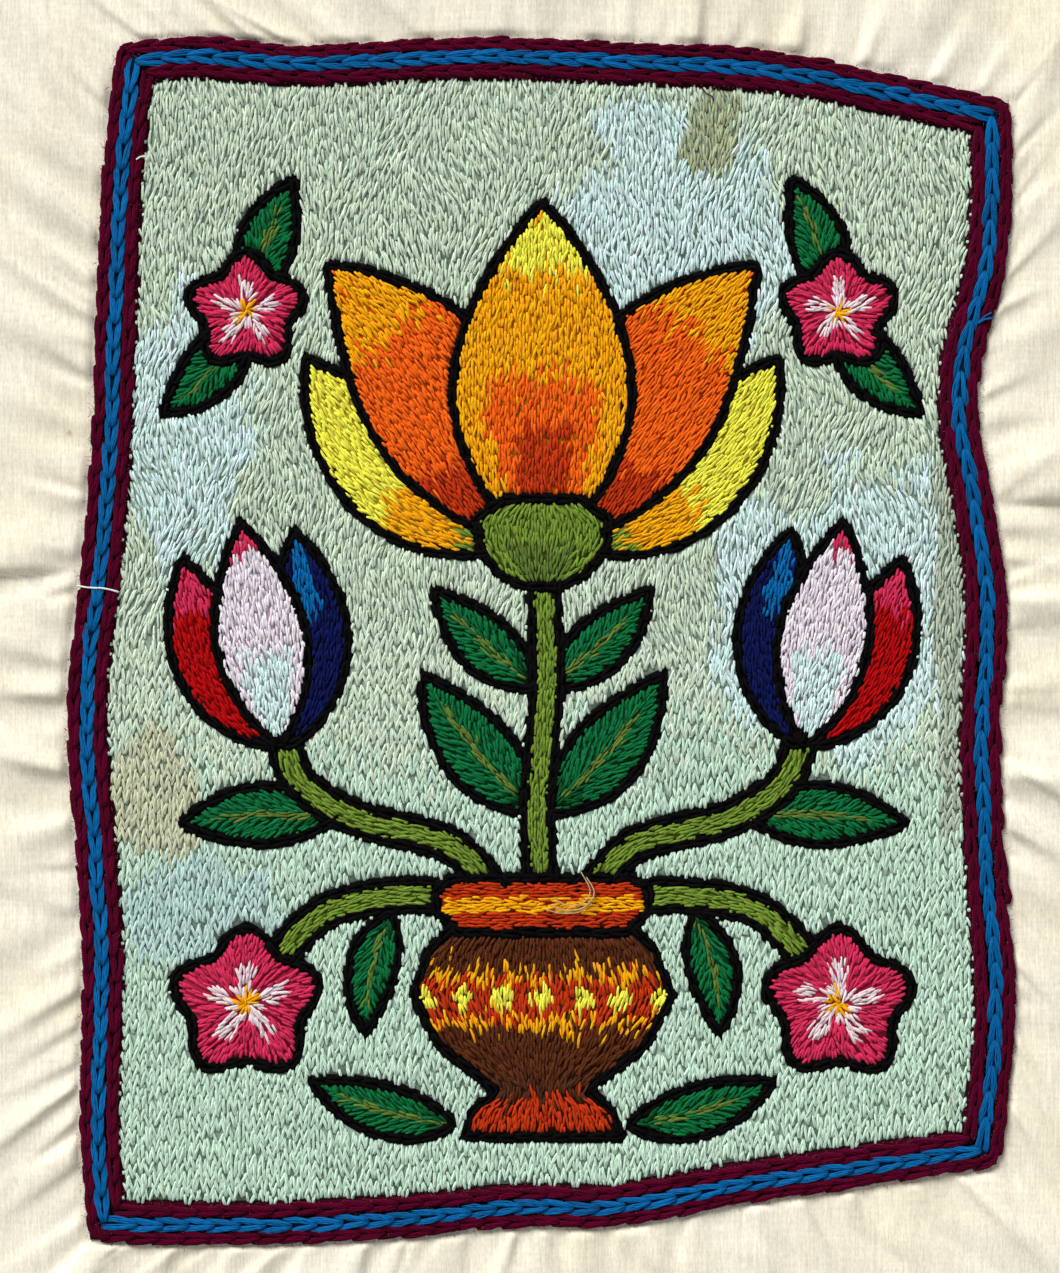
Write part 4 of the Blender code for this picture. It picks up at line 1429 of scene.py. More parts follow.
class Picture:
    """All the motifs, those in front first, and the field that they lie in."""

    FIELD_INSET = 4.45
    FIELD_STATIONS = (60, 80, 60, 80)
    HALVES = (("right", 1), ("left", -1))
    POT = (
        (-120.0, 19.0), (-114.0, 17.0), (-109.0, 11.0), (-98.0, 25.0), (-86.0, 31.0),
        (-75.0, 27.0), (-68.0, 20.0),
    )
    RIM = ((-71.0, 20.0), (-66.0, 25.5), (-61.0, 25.5), (-58.0, 22.0))
    CALYX = ((12.0, 4.5), (15.0, 10.5), (21.0, 15.0), (28.0, 16.0), (33.0, 9.0))
    HEART = (0.0, 20.0, 90.0, 84.0, 43.0, 0.0)
    PETALS = (
        ("bloom_inner_petal", Dye.ORANGE, 5.0, 22.0, 66.0, 82.0, 37.0, -22.0, BladeStyle.FLAME),
        ("bloom_outer_petal", Dye.LEMON, 8.0, 22.0, 25.0, 67.0, 28.0, 36.0, BladeStyle.RAY),
        ("tulip_heart", Dye.LAVENDER, 63.0, -26.0, 80.0, 54.0, 22.0, 0.0, BladeStyle.BUD),
        ("tulip_inner_petal", Dye.NAVY, 61.0, -26.0, 108.0, 52.0, 20.0, -34.0, BladeStyle.DUSK),
        ("tulip_outer_petal", Dye.RED, 65.0, -26.0, 50.0, 50.0, 20.0, 30.0, BladeStyle.EMBER),
    )
    LEAVES = (
        ("middle_leaf", 1.0, -42.0, 40.0, 43.0, 17.0, 20.0),
        ("upper_leaf", 1.0, -12.0, 34.0, 34.0, 13.0, 18.0),
        ("side_leaf", 49.0, -43.0, 4.0, 38.0, 14.0, -14.0),
        ("low_leaf", 36.0, -66.0, -64.0, 30.0, 11.5, -28.0),
        ("foot_leaf", 21.0, -117.0, 6.0, 36.0, 12.0, 22.0),
        ("sprig_upper_leaf", 69.0, 80.0, 96.0, 31.0, 13.0, 24.0),
        ("sprig_lower_leaf", 71.0, 77.0, -64.0, 31.0, 13.0, 30.0),
    )
    ROSETTES = (("low_rosette", 71.0, -88.0, 16.0), ("sprig_rosette", 71.0, 78.0, 12.5))
    MIDDLE_STEM = ((0.0, -64.0), (-1.2, -40.0), (1.0, -12.0), (0.0, 18.0))
    SIDE_STEMS = (
        ("tulip_stem", ((9.0, -64.0), (22.0, -50.0), (44.0, -44.0), (58.0, -35.0), (63.0, -22.0))),
        ("rosette_stem", ((16.0, -64.0), (32.0, -62.0), (52.0, -66.0), (66.0, -80.0))),
    )

    def __init__(self, border: Border) -> None:
        """Draw every motif and measure its outline.

        Args:
            border: The border's route, which bounds the field.
        """
        self.motifs = self.draw()
        self.outlines = [motif.outline() for motif in self.motifs]
        self.field = border.loop(-self.FIELD_INSET, self.FIELD_STATIONS)

    def draw(self) -> list[Motif]:
        """Return the motifs, those in front first.

        Returns:
            The pot, the calyx, the petals, the rosettes, the stems and the leaves, in order.
        """
        motifs: list[Motif] = [
            Turned("pot_rim", 1, Dye.RUST, PotPart.RIM, self.RIM),
            Turned("pot_body", 1, Dye.BROWN, PotPart.BODY, self.POT),
            Turned("bloom_calyx", 1, Dye.OLIVE, PotPart.CALYX, self.CALYX),
            Blade("bloom_heart", 1, Dye.GOLD, *self.HEART, BladeStyle.HEART),
        ]
        for name, dye, *shape in self.PETALS:
            motifs += [Blade(f"{word}_{name}", side, dye, *shape) for word, side in self.HALVES]
        for name, *shape in self.ROSETTES:
            motifs += [Rosette(f"{word}_{name}", side, Dye.PINK, *shape) for word, side in self.HALVES]
        motifs.append(Stem("middle_stem", 1, Dye.OLIVE, self.MIDDLE_STEM))
        for name, route in self.SIDE_STEMS:
            motifs += [Stem(f"{word}_{name}", side, Dye.OLIVE, route) for word, side in self.HALVES]
        for name, *shape in self.LEAVES:
            kind = (*shape, BladeStyle.LEAF)
            motifs += [Blade(f"{word}_{name}", side, Dye.EMERALD, *kind) for word, side in self.HALVES]
        return motifs

    def in_front(self, points: Array, number: int) -> Array:
        """Return how deep each point lies in any motif in front of the one with this number."""
        deepest = np.full(len(points), -DEEPEST)
        for outline in self.outlines[:number]:
            deepest = np.maximum(deepest, depth_in(points, outline))
        return deepest

    def room(self, points: Array, number: int) -> Array:
        """Return how deep each point lies in the open part of a motif, or of the ground.

        It is the depth in the motif's own outline, or in the field for the ground, and at most
        the distance outside every motif in front.

        Args:
            points: Points, shape (n, 2).
            number: The motif's place in the list; past its end means the ground.

        Returns:
            Depths in millimetres.
        """
        own = self.field if number >= len(self.motifs) else self.outlines[number]
        return np.minimum(depth_in(points, own), -self.in_front(points, number))

    def trimmed(self, number: int, middles: Array, runs: Array, spare: Array) -> list[Array]:
        """Return the two ends of each stitch, drawn in to where its patch has room for them.

        Where an end has less room than spare, it moves along the stitch to where the room
        between the middle and the end, taken as changing evenly, is just that.

        Args:
            number: The patch's place in the list.
            middles: The middles of the stitches.
            runs: The vectors from each middle to its front end.
            spare: The room that each stitch's ends need.

        Returns:
            The back ends and the front ends.
        """
        here = self.room(middles, number)
        ends = []
        for way in (-1.0, 1.0):
            there = self.room(middles + way * runs, number)
            share = np.where(there < spare, (here - spare) / np.maximum(here - there, 1e-6), 1.0)
            ends.append(middles + way * runs * np.clip(share, 0.25, 1.0)[:, None])
        return ends


class PatchWork:
    """Fills the motifs with short straight stitches, one piece for each."""

    GRAIN = Grain(
        length=4.0, half_width=0.39, thickness=0.52, base=1.43, pitch_along=2.3, pitch_across=0.72
    )
    LEAST_ROOM = 0.95
    END_ROOM = (0.7, 1.5)
    BACKING_SQUEEZE = 0.4
    # Painted shade: the backing takes the motif's dye darkened by this, a little warmer, to show in the gaps
    # between stitches.
    BACKING_SHADE = np.array((0.5, 0.38, 0.42))
    LEAN = math.radians(9.0)
    UNEVENNESS = 0.17
    VARIETY = 0.085

    def __init__(self, picture: Picture) -> None:
        """Keep the picture that is filled."""
        self.picture = picture

    def build(self) -> list[bpy.types.Object]:
        """Fill every motif and return the pieces."""
        return [self.fill(number) for number in range(len(self.picture.motifs))]

    def fill(self, number: int) -> bpy.types.Object:
        """Fill one motif over its flat packed stitching, whose darkened dye is painted shade in the gaps
        between stitches.

        Args:
            number: The motif's place in the picture.

        Returns:
            The finished piece.
        """
        motif = self.picture.motifs[number]
        pile = ThreadPile(100 + number)
        chance = pile.chance
        pile.add_backing(motif.name, self.BACKING_SQUEEZE, motif.dye.linear * self.BACKING_SHADE)
        turn = motif.turn() if motif.side > 0 else math.pi - motif.turn()
        middles, _ = self.GRAIN.centres(self.picture.outlines[number], turn, chance)
        middles = middles[self.picture.room(middles, number) > self.LEAST_ROOM]
        heading = motif.lay(motif.local(middles)) + chance.normal(0.0, self.LEAN, len(middles))
        length = self.GRAIN.length * chance.normal(1.0, self.UNEVENNESS, len(middles))
        runs = headed(heading) * (motif.side, 1.0) * 0.5 * length[:, None]
        spare = chance.uniform(*self.END_ROOM, len(middles))
        starts, ends = self.picture.trimmed(number, middles, runs, spare)
        colours = pile.varied(motif.colours(middles, chance), self.VARIETY)
        self.GRAIN.work(pile, starts, ends, colours)
        return pile.build(f"{motif.name}_stitches", COTTON_FLOSS, motif.slot, (motif.name,))


class GroundShade(NamedTuple):
    """An oval of another green or blue in the ground."""

    dye: Dye
    x: float
    y: float
    reach_x: float
    reach_y: float


class Ground:
    """The pale stitches round the motifs, in three pieces from top to bottom.

    In the upper part the stitches lean one way and another like fur. In the lower part they
    stand in columns whose stitches lean to the left and right in turn.
    """

    FUR = Grain(
        length=4.8,
        half_width=0.39,
        thickness=0.53,
        base=1.42,
        pitch_along=2.85,
        pitch_across=0.735,
        plump=(0.22, 0.8, 1.0, 0.8, 0.22),
        tip_shade=0.55,
    )
    COLUMNS = Grain(
        length=4.9,
        half_width=0.47,
        thickness=0.46,
        base=1.46,
        pitch_along=2.9,
        pitch_across=0.93,
        dip=(-0.28, -0.03, 0.05, -0.03, -0.28),
        scatter=0.13,
        paired=True,
        tip_shade=0.92,
    )
    LEAST_ROOM = 0.9
    EDGE_ROOM = 0.35
    END_ROOM = (0.7, 1.5)
    UNEVENNESS = 0.12
    FUR_FLOW = math.radians(15.0)
    FUR_LEAN = math.radians(10.0)
    COLUMN_LEAN = math.radians(13.0)
    COLUMN_CHANCE = math.radians(6.0)
    COLUMNS_FROM = -8.0
    FUR_VARIETY = 0.11
    COLUMN_VARIETY = 0.05
    BED_LEVELS = (1.12, 0.93)
    # Painted shade: the bed plate's dark green is darkened further by this.
    BED_SHADE = 0.6
    BACKING_SQUEEZE = 0.36
    # Painted shade: the ground's backing takes the mint dye darkened by this.
    BACKING_SHADE = 0.48
    PIECES = (("upper", 42.0, math.inf), ("middle", -58.0, 42.0), ("lower", -math.inf, -58.0))
    SHADES = (
        GroundShade(Dye.ICE, -84.0, 50.0, 17.0, 31.0),
        GroundShade(Dye.ICE, 34.0, 92.0, 30.0, 31.0),
        GroundShade(Dye.ICE, 78.0, 6.0, 33.0, 33.0),
        GroundShade(Dye.AQUA, -78.0, -66.0, 16.0, 14.0),
        GroundShade(Dye.BEIGE, -90.0, -38.0, 13.0, 14.0),
        GroundShade(Dye.MOSS, 44.0, 122.0, 7.0, 12.0),
        GroundShade(Dye.STRIP, 101.0, 8.0, 4.0, 58.0),
    )

    def __init__(self, picture: Picture) -> None:
        """Keep the picture whose ground is filled."""
        self.picture = picture

    def colours(self, points: Array, chance: np.random.Generator) -> Array:
        """Return the ground's colour at each point.

        Sage runs into mint from the top to the bottom. The ovals lie over them, with edges made
        uneven by ripples, and by chance, so that single stitches mix there.

        Args:
            points: The middles of the stitches.
            chance: Where the chance numbers come from.

        Returns:
            Linear colours, shape (n, 3).
        """
        low = step_up(-points[:, 1] + 9.0 * ripples(points, 45.0, 1), 14.0, 42.0)
        mint = chance.random(len(points)) < low
        found = np.where(mint[:, None], Dye.MINT.linear, Dye.SAGE.linear)
        for number, shade in enumerate(self.SHADES):
            x, y = ((points - (shade.x, shade.y)) / (shade.reach_x, shade.reach_y)).T
            uneven = 0.2 * ripples(points, 22.0, 10 + number)
            away = np.hypot(x, y) + (uneven + chance.normal(0.0, 0.07, len(points)))
            found[away < 1.0] = shade.dye.linear
        return found

    def laid(self, grain: Grain, chance: np.random.Generator) -> tuple[Array, Array]:
        """Spread the stitches of the upper or the lower part.

        The two parts meet along a wavy line. In the upper one the stitches lean by ripples and
        by chance. In the lower one those of every other column lean the other way.

        Args:
            grain: The part's stitch.
            chance: Where the chance numbers come from.

        Returns:
            The middles of the stitches and their headings in radians.
        """
        middles, column = grain.centres(self.picture.field, 0.5 * math.pi, chance)
        below = middles[:, 1] < self.COLUMNS_FROM + 9.0 * ripples(middles, 40.0, 3)
        inside = depth_in(middles, self.picture.field) > self.EDGE_ROOM
        kept = (below == grain.paired) & inside
        middles = middles[kept]
        if grain.paired:
            lean = np.where(column[kept] % 2 < 1, -1.0, 1.0) * self.COLUMN_LEAN
            loose = self.COLUMN_CHANCE
        else:
            lean = self.FUR_FLOW * ripples(middles, 26.0, 2)
            loose = self.FUR_LEAN
        return middles, 0.5 * math.pi + (lean + chance.normal(0.0, loose, len(middles)))

    def shaded_bed(self, pile: ThreadPile) -> None:
        """Add the flat packed stitching under the whole picture, as a thin closed plate. Its dark green is
        painted shade that shows in the gaps between the stitches.

        Args:
            pile: The pile that takes it.
        """
        rim = self.picture.field[::-1] * 0.998
        top, low = (raised(rim, level) for level in self.BED_LEVELS)
        hubs = [(0.0, 0.0, level) for level in self.BED_LEVELS]
        here = np.arange(len(rim))
        after = np.roll(here, -1)
        hub = np.full(len(rim), 2 * len(rim))
        upper = np.stack((here, after, hub), axis=1)
        under = np.stack((after + len(rim), here + len(rim), hub + 1), axis=1)
        wall = np.stack((here + len(rim), after + len(rim), after, here), axis=1)
        faces = (wall, np.concatenate((upper, under)))
        pile.keep(np.concatenate((top, low, hubs)), *faces, Dye.SHADED_BED.linear * self.BED_SHADE, np.zeros(3))

    def build(self) -> list[bpy.types.Object]:
        """Lay the ground's stitches over its bed, whose dark colour is painted shade.

        Returns:
            The three pieces.
        """
        number = len(self.picture.motifs)
        chance = np.random.default_rng(SEED + 7)
        fur, columns = (self.laid(grain, chance) for grain in (self.FUR, self.COLUMNS))
        middles = np.concatenate((fur[0], columns[0]))
        heading = np.concatenate((fur[1], columns[1]))
        lower = np.arange(len(middles)) >= len(fur[0])
        free = self.picture.in_front(middles, number) < -self.LEAST_ROOM
        middles, heading, lower = middles[free], heading[free], lower[free]
        length = np.where(lower, self.COLUMNS.length, self.FUR.length)
        length = length * chance.normal(1.0, self.UNEVENNESS, len(middles))
        runs = headed(heading) * 0.5 * length[:, None]
        spare = chance.uniform(*self.END_ROOM, len(middles))
        starts, ends = self.picture.trimmed(number, middles, runs, spare)
        colours = self.colours(middles, chance)
        kinds = ((self.FUR, self.FUR_VARIETY), (self.COLUMNS, self.COLUMN_VARIETY))
        made = []
        for part, (word, bottom, top) in enumerate(self.PIECES):
            pile = ThreadPile(200 + part)
            if word == "middle":
                self.shaded_bed(pile)
                # Painted shade: the backing's mint is darkened to show as shade in the gaps between
                # stitches.
                shade = Dye.MINT.linear * self.BACKING_SHADE
                pile.add_backing("stitched_ground", self.BACKING_SQUEEZE, shade)
            within = (middles[:, 1] <= top) & (middles[:, 1] > bottom)
            for grain, variety in kinds:
                mine = within & (lower == grain.paired)
                grain.work(pile, starts[mine], ends[mine], pile.varied(colours[mine], variety))
            name = f"ground_{word}_stitches"
            made.append(pile.build(name, PALE_FLOSS, "mint_floss", ("stitched_ground",)))
        return made


class OutlineRows:
    """The black chain-stitch lines round the motifs, one piece for each joined network."""

    COVER = 0.75
    BACKING_SQUEEZE = 0.18
    NODES = {"main": "outline_rows", "left": "outline_rows_2", "right": "outline_rows_3"}

    def __init__(self, picture: Picture) -> None:
        """Keep the picture whose motifs are outlined."""
        self.picture = picture

    @staticmethod
    def network(motif: Motif) -> str:
        """Return which network a motif's row belongs to: the main one or a side sprig."""
        sprig = "right" if motif.side > 0 else "left"
        return sprig if "sprig" in motif.name else "main"

    def build(self) -> list[bpy.types.Object]:
        """Work the rows, leaving out the links that a motif in front covers.

        Returns:
            The three pieces.
        """
        black = Dye.BLACK.linear
        made = []
        for order, (network, node) in enumerate(self.NODES.items()):
            pile = ThreadPile(300 + order)
            pile.add_backing(node, self.BACKING_SQUEEZE, black)
            for number, motif in enumerate(self.picture.motifs):
                if self.network(motif) != network:
                    continue
                track = Track(self.picture.outlines[number], closed=True)
                starts, pitch = THIN_CHAIN.starts(track)
                covered = self.picture.in_front(track.place(starts + 0.5 * pitch), number)
                THIN_CHAIN.work(pile, track, starts[covered < self.COVER], pitch, black)
            made.append(pile.build(f"black_{network}_lines", BLACK_FLOSS, "black_floss", (node,)))
        return made


class RowPlace(Enum):
    """The border's rows, from the outside in."""

    OUTER = "outer"
    MIDDLE = "middle"
    INNER = "inner"


@dataclass(frozen=True)
class BorderRow:
    """One chain-stitch row of the border.

    The outer row runs on round its corners. The sides of the other two end against each other.
    """

    place: RowPlace
    outwards: float
    dye: Dye
    slot: str
    finish: ThreadFinish
    hairs: int
    chain: ChainStitch
    shaded_bed: tuple[float, float]

    STATIONS = (200, 260, 200, 260)
    ROUNDING = 2
    # Painted shade: the bed ring takes the row's dye darkened by this.
    BED_SHADE = 0.5
    BED_LEVELS = (0.9, 1.5)
    HAIR_HALF_WIDTH = 0.06
    HAIR_LENGTHS = (0.6, 1.7)
    HAIR_LEVEL = 1.6
    HAIR_RISE = 0.7
    HAIR_ARCH = 1.2
    HAIR_BOW = 0.3
    HAIR_ASIDE = (1.3, 0.35)

    def tracks(self, border: Border) -> list[Track]:
        """Return the lines that the row follows: one closed, or one for each side.

        Args:
            border: The border's route.

        Returns:
            The lines. A closed one has its corners rounded, as the mean of its near points.
        """
        sides = border.sides(self.outwards, self.STATIONS)
        if self.place is RowPlace.OUTER:
            loop = np.concatenate(sides)
            shifts = range(-self.ROUNDING, self.ROUNDING + 1)
            near = [np.roll(loop, shift, axis=0) for shift in shifts]
            return [Track(np.mean(near, axis=0), closed=True)]
        nexts = sides[1:] + sides[:1]
        ends = [np.concatenate((side, after[:1])) for side, after in zip(sides, nexts)]
        return [Track(side, closed=False) for side in ends]

    def add_plate(self, pile: ThreadPile, border: Border) -> None:
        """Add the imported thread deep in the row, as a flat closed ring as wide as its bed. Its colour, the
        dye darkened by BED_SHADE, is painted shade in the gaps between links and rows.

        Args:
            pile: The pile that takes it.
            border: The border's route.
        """
        inner, outer = (border.loop(self.outwards + shift, self.STATIONS) for shift in self.shaded_bed)
        low, high = self.BED_LEVELS
        rings = ((inner, low), (outer, low), (outer, high), (inner, high))
        points = np.concatenate([raised(ring, level) for ring, level in rings])
        here = np.arange(len(inner))
        after = np.roll(here, -1)
        ring = np.arange(4)[:, None] * len(inner)
        beside = np.roll(ring, -1, axis=0)
        corners = (ring + here, beside + here, beside + after, ring + after)
        quads = np.stack(corners, axis=-1).reshape(-1, 4)
        pile.keep(points, quads, NO_TRIANGLES, self.dye.linear * self.BED_SHADE, np.zeros(3))

    def add_hairs(self, pile: ThreadPile, track: Track, amount: int) -> None:
        """Scatter short curled hairs over a row.

        Each hair starts at a random place on the row and runs in a random direction. Its middle
        line is a parabola that rises and comes down again.

        Args:
            pile: The pile that takes the hairs.
            track: The row's line.
            amount: How many hairs there are.
        """
        chance = pile.chance
        distance = chance.uniform(0.0, track.length, amount)
        aside = chance.choice((-1.0, 1.0), amount) * chance.normal(*self.HAIR_ASIDE, amount)
        root = track.place(distance) + track.left(distance) * aside[:, None]
        ahead = headed(chance.uniform(0.0, math.tau, amount))[:, None]
        length = chance.uniform(*self.HAIR_LENGTHS, amount)[:, None]
        share = np.linspace(0.0, 1.0, 3)
        bow = chance.normal(0.0, self.HAIR_BOW, amount)[:, None] * share**2
        flat = root[:, None] + ahead * (length * share)[..., None] + leftward(ahead) * bow[..., None]
        rise = chance.uniform(0.0, self.HAIR_RISE, (amount, 1))
        level = self.HAIR_LEVEL + rise + self.HAIR_ARCH * share * (1.0 - share)
        width = np.full((amount, 3), self.HAIR_HALF_WIDTH)
        colours = pile.varied(np.tile(Dye.FUZZ.linear, (amount, 1)), 0.1)
        pile.add_threads(raised(flat, level), width, width, colours, tipped(len(share)))

    def build(self, border: Border) -> bpy.types.Object:
        """Work the row over its bed, a ring whose darkened dye is painted shade.

        Args:
            border: The border's route.

        Returns:
            The finished piece.
        """
        pile = ThreadPile(400 + round(self.outwards))
        self.add_plate(pile, border)
        tracks = self.tracks(border)
        for track in tracks:
            self.chain.work(pile, track, *self.chain.starts(track), self.dye.linear)
            if self.hairs:
                self.add_hairs(pile, track, self.hairs // len(tracks))
        nodes = (f"border_{self.place.value}_row",)
        return pile.build(f"border_{self.place.value}_chain", self.finish, self.slot, nodes)


@dataclass(frozen=True)
class ClothSheet:
    """The cotton sheet: flat under the stitching, puckered and folded in the margin round it.

    It is about half a millimetre thick at its cut edge. Under the picture the stitches on its
    back are counted in, so that its underside still lies on the surface.
    """

    half_width: float = 150.0
    half_height: float = 180.0
    under_picture: float = 0.95
    cut_edge: float = 0.5
    stations: Stations = (296, 356, 296, 356)
    rings_above: int = 32
    rings_below: int = 5
    puckers: int = 160
    edge_wave: float = 1.4
    edge_waves: Stations = (5, 6, 5, 6)
    finish: ClothFinish = ClothFinish()

    START = 4.7
    UNDER_BORDER = -6.0
    RISE = 0.3
    SPREAD = 0.8
    TROUGH_SEAT = 0.12
    CORNER_SEAT = 8.0
    THINNING = 5.0
    SWELL = 0.35
    SWELL_SIZE = 17.0
    CALM_PLACE = 255.0
    CALM_REACH = 48.0
    CALM = 0.6
    PUCKER_SHIFT = 0.38
    PUCKER_HEIGHTS = (0.3, 2.0)
    PUCKER_WIDTHS = (1.7, 3.6)
    PUCKER_REACHES = (8.0, 30.0)
    PUCKER_DRIFT = 0.22
    PUCKER_RISE = 2.2

    def edge(self) -> Array:
        """Return the cut edge, each side bowed in by a squared sine wave.

        Returns:
            Points all the way round from the top left corner.
        """
        corners = np.array(((-1.0, 1.0), (1.0, 1.0), (1.0, -1.0), (-1.0, -1.0)))
        corners = corners * (self.half_width, self.half_height)
        inwards = np.array(((0.0, -1.0), (-1.0, 0.0), (0.0, 1.0), (1.0, 0.0)))
        sides = []
        for side, count in enumerate(self.stations):
            part = np.arange(count)[:, None] / count
            straight = corners[side] + (corners[(side + 1) % 4] - corners[side]) * part
            wave = self.edge_wave * np.sin(math.pi * part * self.edge_waves[side]) ** 2
            sides.append(straight + inwards[side] * wave)
        return np.concatenate(sides)

    @staticmethod
    def nearest_way(distance: Array, length: float) -> Array:
        """Return signed distances round a closed line, taken the shorter way."""
        return (distance + 0.5 * length) % length - 0.5 * length

    def fold_height(self, border: Border, place: Array, length: float, step: Array) -> Array:
        """Return how far the folds lift the cloth.

        A fold is a bell curve across its line. A rolled fold rises gently on one side and comes
        down in a quarter circle on the other. Each is low at the stitching, rises and widens as
        it runs out, and drifts along the border. Between the folds the cloth lies flat.

        Args:
            border: The border's route.
            place: The distance round the border at each station.
            length: The distance all the way round.
            step: How far out each ring lies, from 0 at the border to 1 at the cut edge.

        Returns:
            Heights, shape (rings, stations).
        """
        total = np.zeros((len(step), len(place)))
        out = step[:, None]
        starts = np.concatenate(([0], np.cumsum(self.stations)))
        for side, points in zip(Side, border.sides(self.START, self.stations)):
            along = points[:, side.value % 2]
            for fold in FOLDS[side]:
                station = starts[side.value] + int(np.argmin(np.abs(along - fold.along)))
                middle = place[station] + side.onward * fold.drift * out
                away = self.nearest_way(place - middle, length)
                across = away / (fold.width * (1.0 + self.SPREAD * out))
                shape = np.exp(-(across**2))
                if fold.roll:
                    steep = np.sqrt(np.maximum(1.0 - (across / 0.5) ** 2, 0.0))
                    gentle = np.exp(-((across / 1.35) ** 2))
                    shape = np.where(across * fold.roll > 0.0, steep, gentle)
                total += fold.height * np.minimum(1.0, out / self.RISE) * shape
        return np.maximum(total - self.TROUGH_SEAT, 0.0)

    def pucker_height(self, place: Array, length: float, out: Array) -> Array:
        """Return the height of the many small puckers that run out from the border.

        Each is a bell curve across its line, steeper on one side. It rises within a few
        millimetres of the border and dies away further out. They are lower, by a bell curve
        along the border, where it comes down from the upper right corner.

        Args:
            place: The distance round the border at each station.
            length: The distance all the way round.
            out: The distance out from the border, shape (rings, stations).

        Returns:
            Heights, shape (rings, stations).
        """
        chance = np.random.default_rng(SEED + 31)
        uneven = chance.uniform(-self.PUCKER_SHIFT, self.PUCKER_SHIFT, self.puckers)
        total = np.zeros(out.shape)
        for middle in (np.arange(self.puckers) + uneven) * length / self.puckers:
            height = chance.uniform(*self.PUCKER_HEIGHTS)
            lean = chance.choice((-1.0, 1.0))
            width = chance.uniform(*self.PUCKER_WIDTHS)
            reach = chance.uniform(*self.PUCKER_REACHES)
            drift = chance.normal(0.0, self.PUCKER_DRIFT)
            away = self.nearest_way(place - middle - drift * out, length)
            reach_over = width * (1.0 + 0.03 * out) * np.where(away * lean > 0.0, 0.6, 1.3)
            ridge = np.exp(-((away / reach_over) ** 2)) * height
            total += ridge * step_up(out, 0.0, self.PUCKER_RISE) * np.exp(-((out / reach) ** 2))
        return total * (1.0 - self.CALM * np.exp(-(((place - self.CALM_PLACE) / self.CALM_REACH) ** 2)))

    def build(self, border: Border) -> bpy.types.Object:
        """Build the sheet as one closed shell of rings from its middle to its cut edge.

        Args:
            border: The border's route.

        Returns:
            The finished piece.
        """
        inner = border.loop(self.START, self.stations)
        hidden = border.loop(self.UNDER_BORDER, self.stations)
        edge = self.edge()
        steps = np.linalg.norm(np.roll(inner, -1, axis=0) - inner, axis=1)
        place = np.concatenate(([0.0], np.cumsum(steps)[:-1]))
        length = float(steps.sum())
        count = len(inner)
        here = np.arange(count)
        after = np.roll(here, -1)
        first = 0
        points, quads, fans, rims = [], [], [], []
        for above, rings in ((True, self.rings_above), (False, self.rings_below)):
            step = np.linspace(0.0, 1.0, rings) ** (1.2 if above else 1.0)
            flat = inner + (edge - inner) * step[:, None, None]
            gap = np.hypot(self.half_width - np.abs(flat[..., 0]), self.half_height - np.abs(flat[..., 1]))
            share = 1.0 - np.exp(-((gap / self.CORNER_SEAT) ** 2))
            level = self.fold_height(border, place, length, step) * share
            if above:
                out = step[:, None] * np.linalg.norm(edge - inner, axis=1)
                packed = (self.under_picture - self.cut_edge) * np.exp(-out / self.THINNING)
                swell = self.SWELL * step_up(out, 2.0, 14.0) * ripples(flat, self.SWELL_SIZE, 3)
                thickness = self.cut_edge + packed
                level = level + thickness + self.pucker_height(place, length, out) + np.abs(swell)
            base = self.under_picture if above else 0.0
            points += [np.array([[0.0, 0.0, base]]), raised(hidden, base)]
            points.append(raised(flat, level).reshape(-1, 3))
            start = first + 1 + count * np.arange(rings)[:, None]
            corners = (start + here, start + after, start + count + after, start + count + here)
            strip = np.stack(corners, axis=-1)
            fan = np.stack((np.full(count, first), first + 1 + after, first + 1 + here), axis=-1)
            quads.append((strip if above else strip[..., ::-1]).reshape(-1, 4))
            fans.append(fan if above else fan[:, ::-1])
            first += 1 + count * (rings + 1)
            rims.append(first - count)
        top, low = rims
        quads.append(np.stack((top + here, top + after, low + after, low + here), axis=-1))
        made = mesh_object("cotton_cloth", *(np.concatenate(rows) for rows in (points, quads, fans)))
        made.data.materials.append(self.finish.material())
        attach(made, BODY)
        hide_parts("cloth")
        log.info("%s: %d faces", made.name, len(made.data.polygons))
        return made


class LooseEnd(NamedTuple):
    """A thread end that lies on the surface, with its colour, half width, height and route."""

    dye: Dye
    half_width: float
    level: float
    route: Route


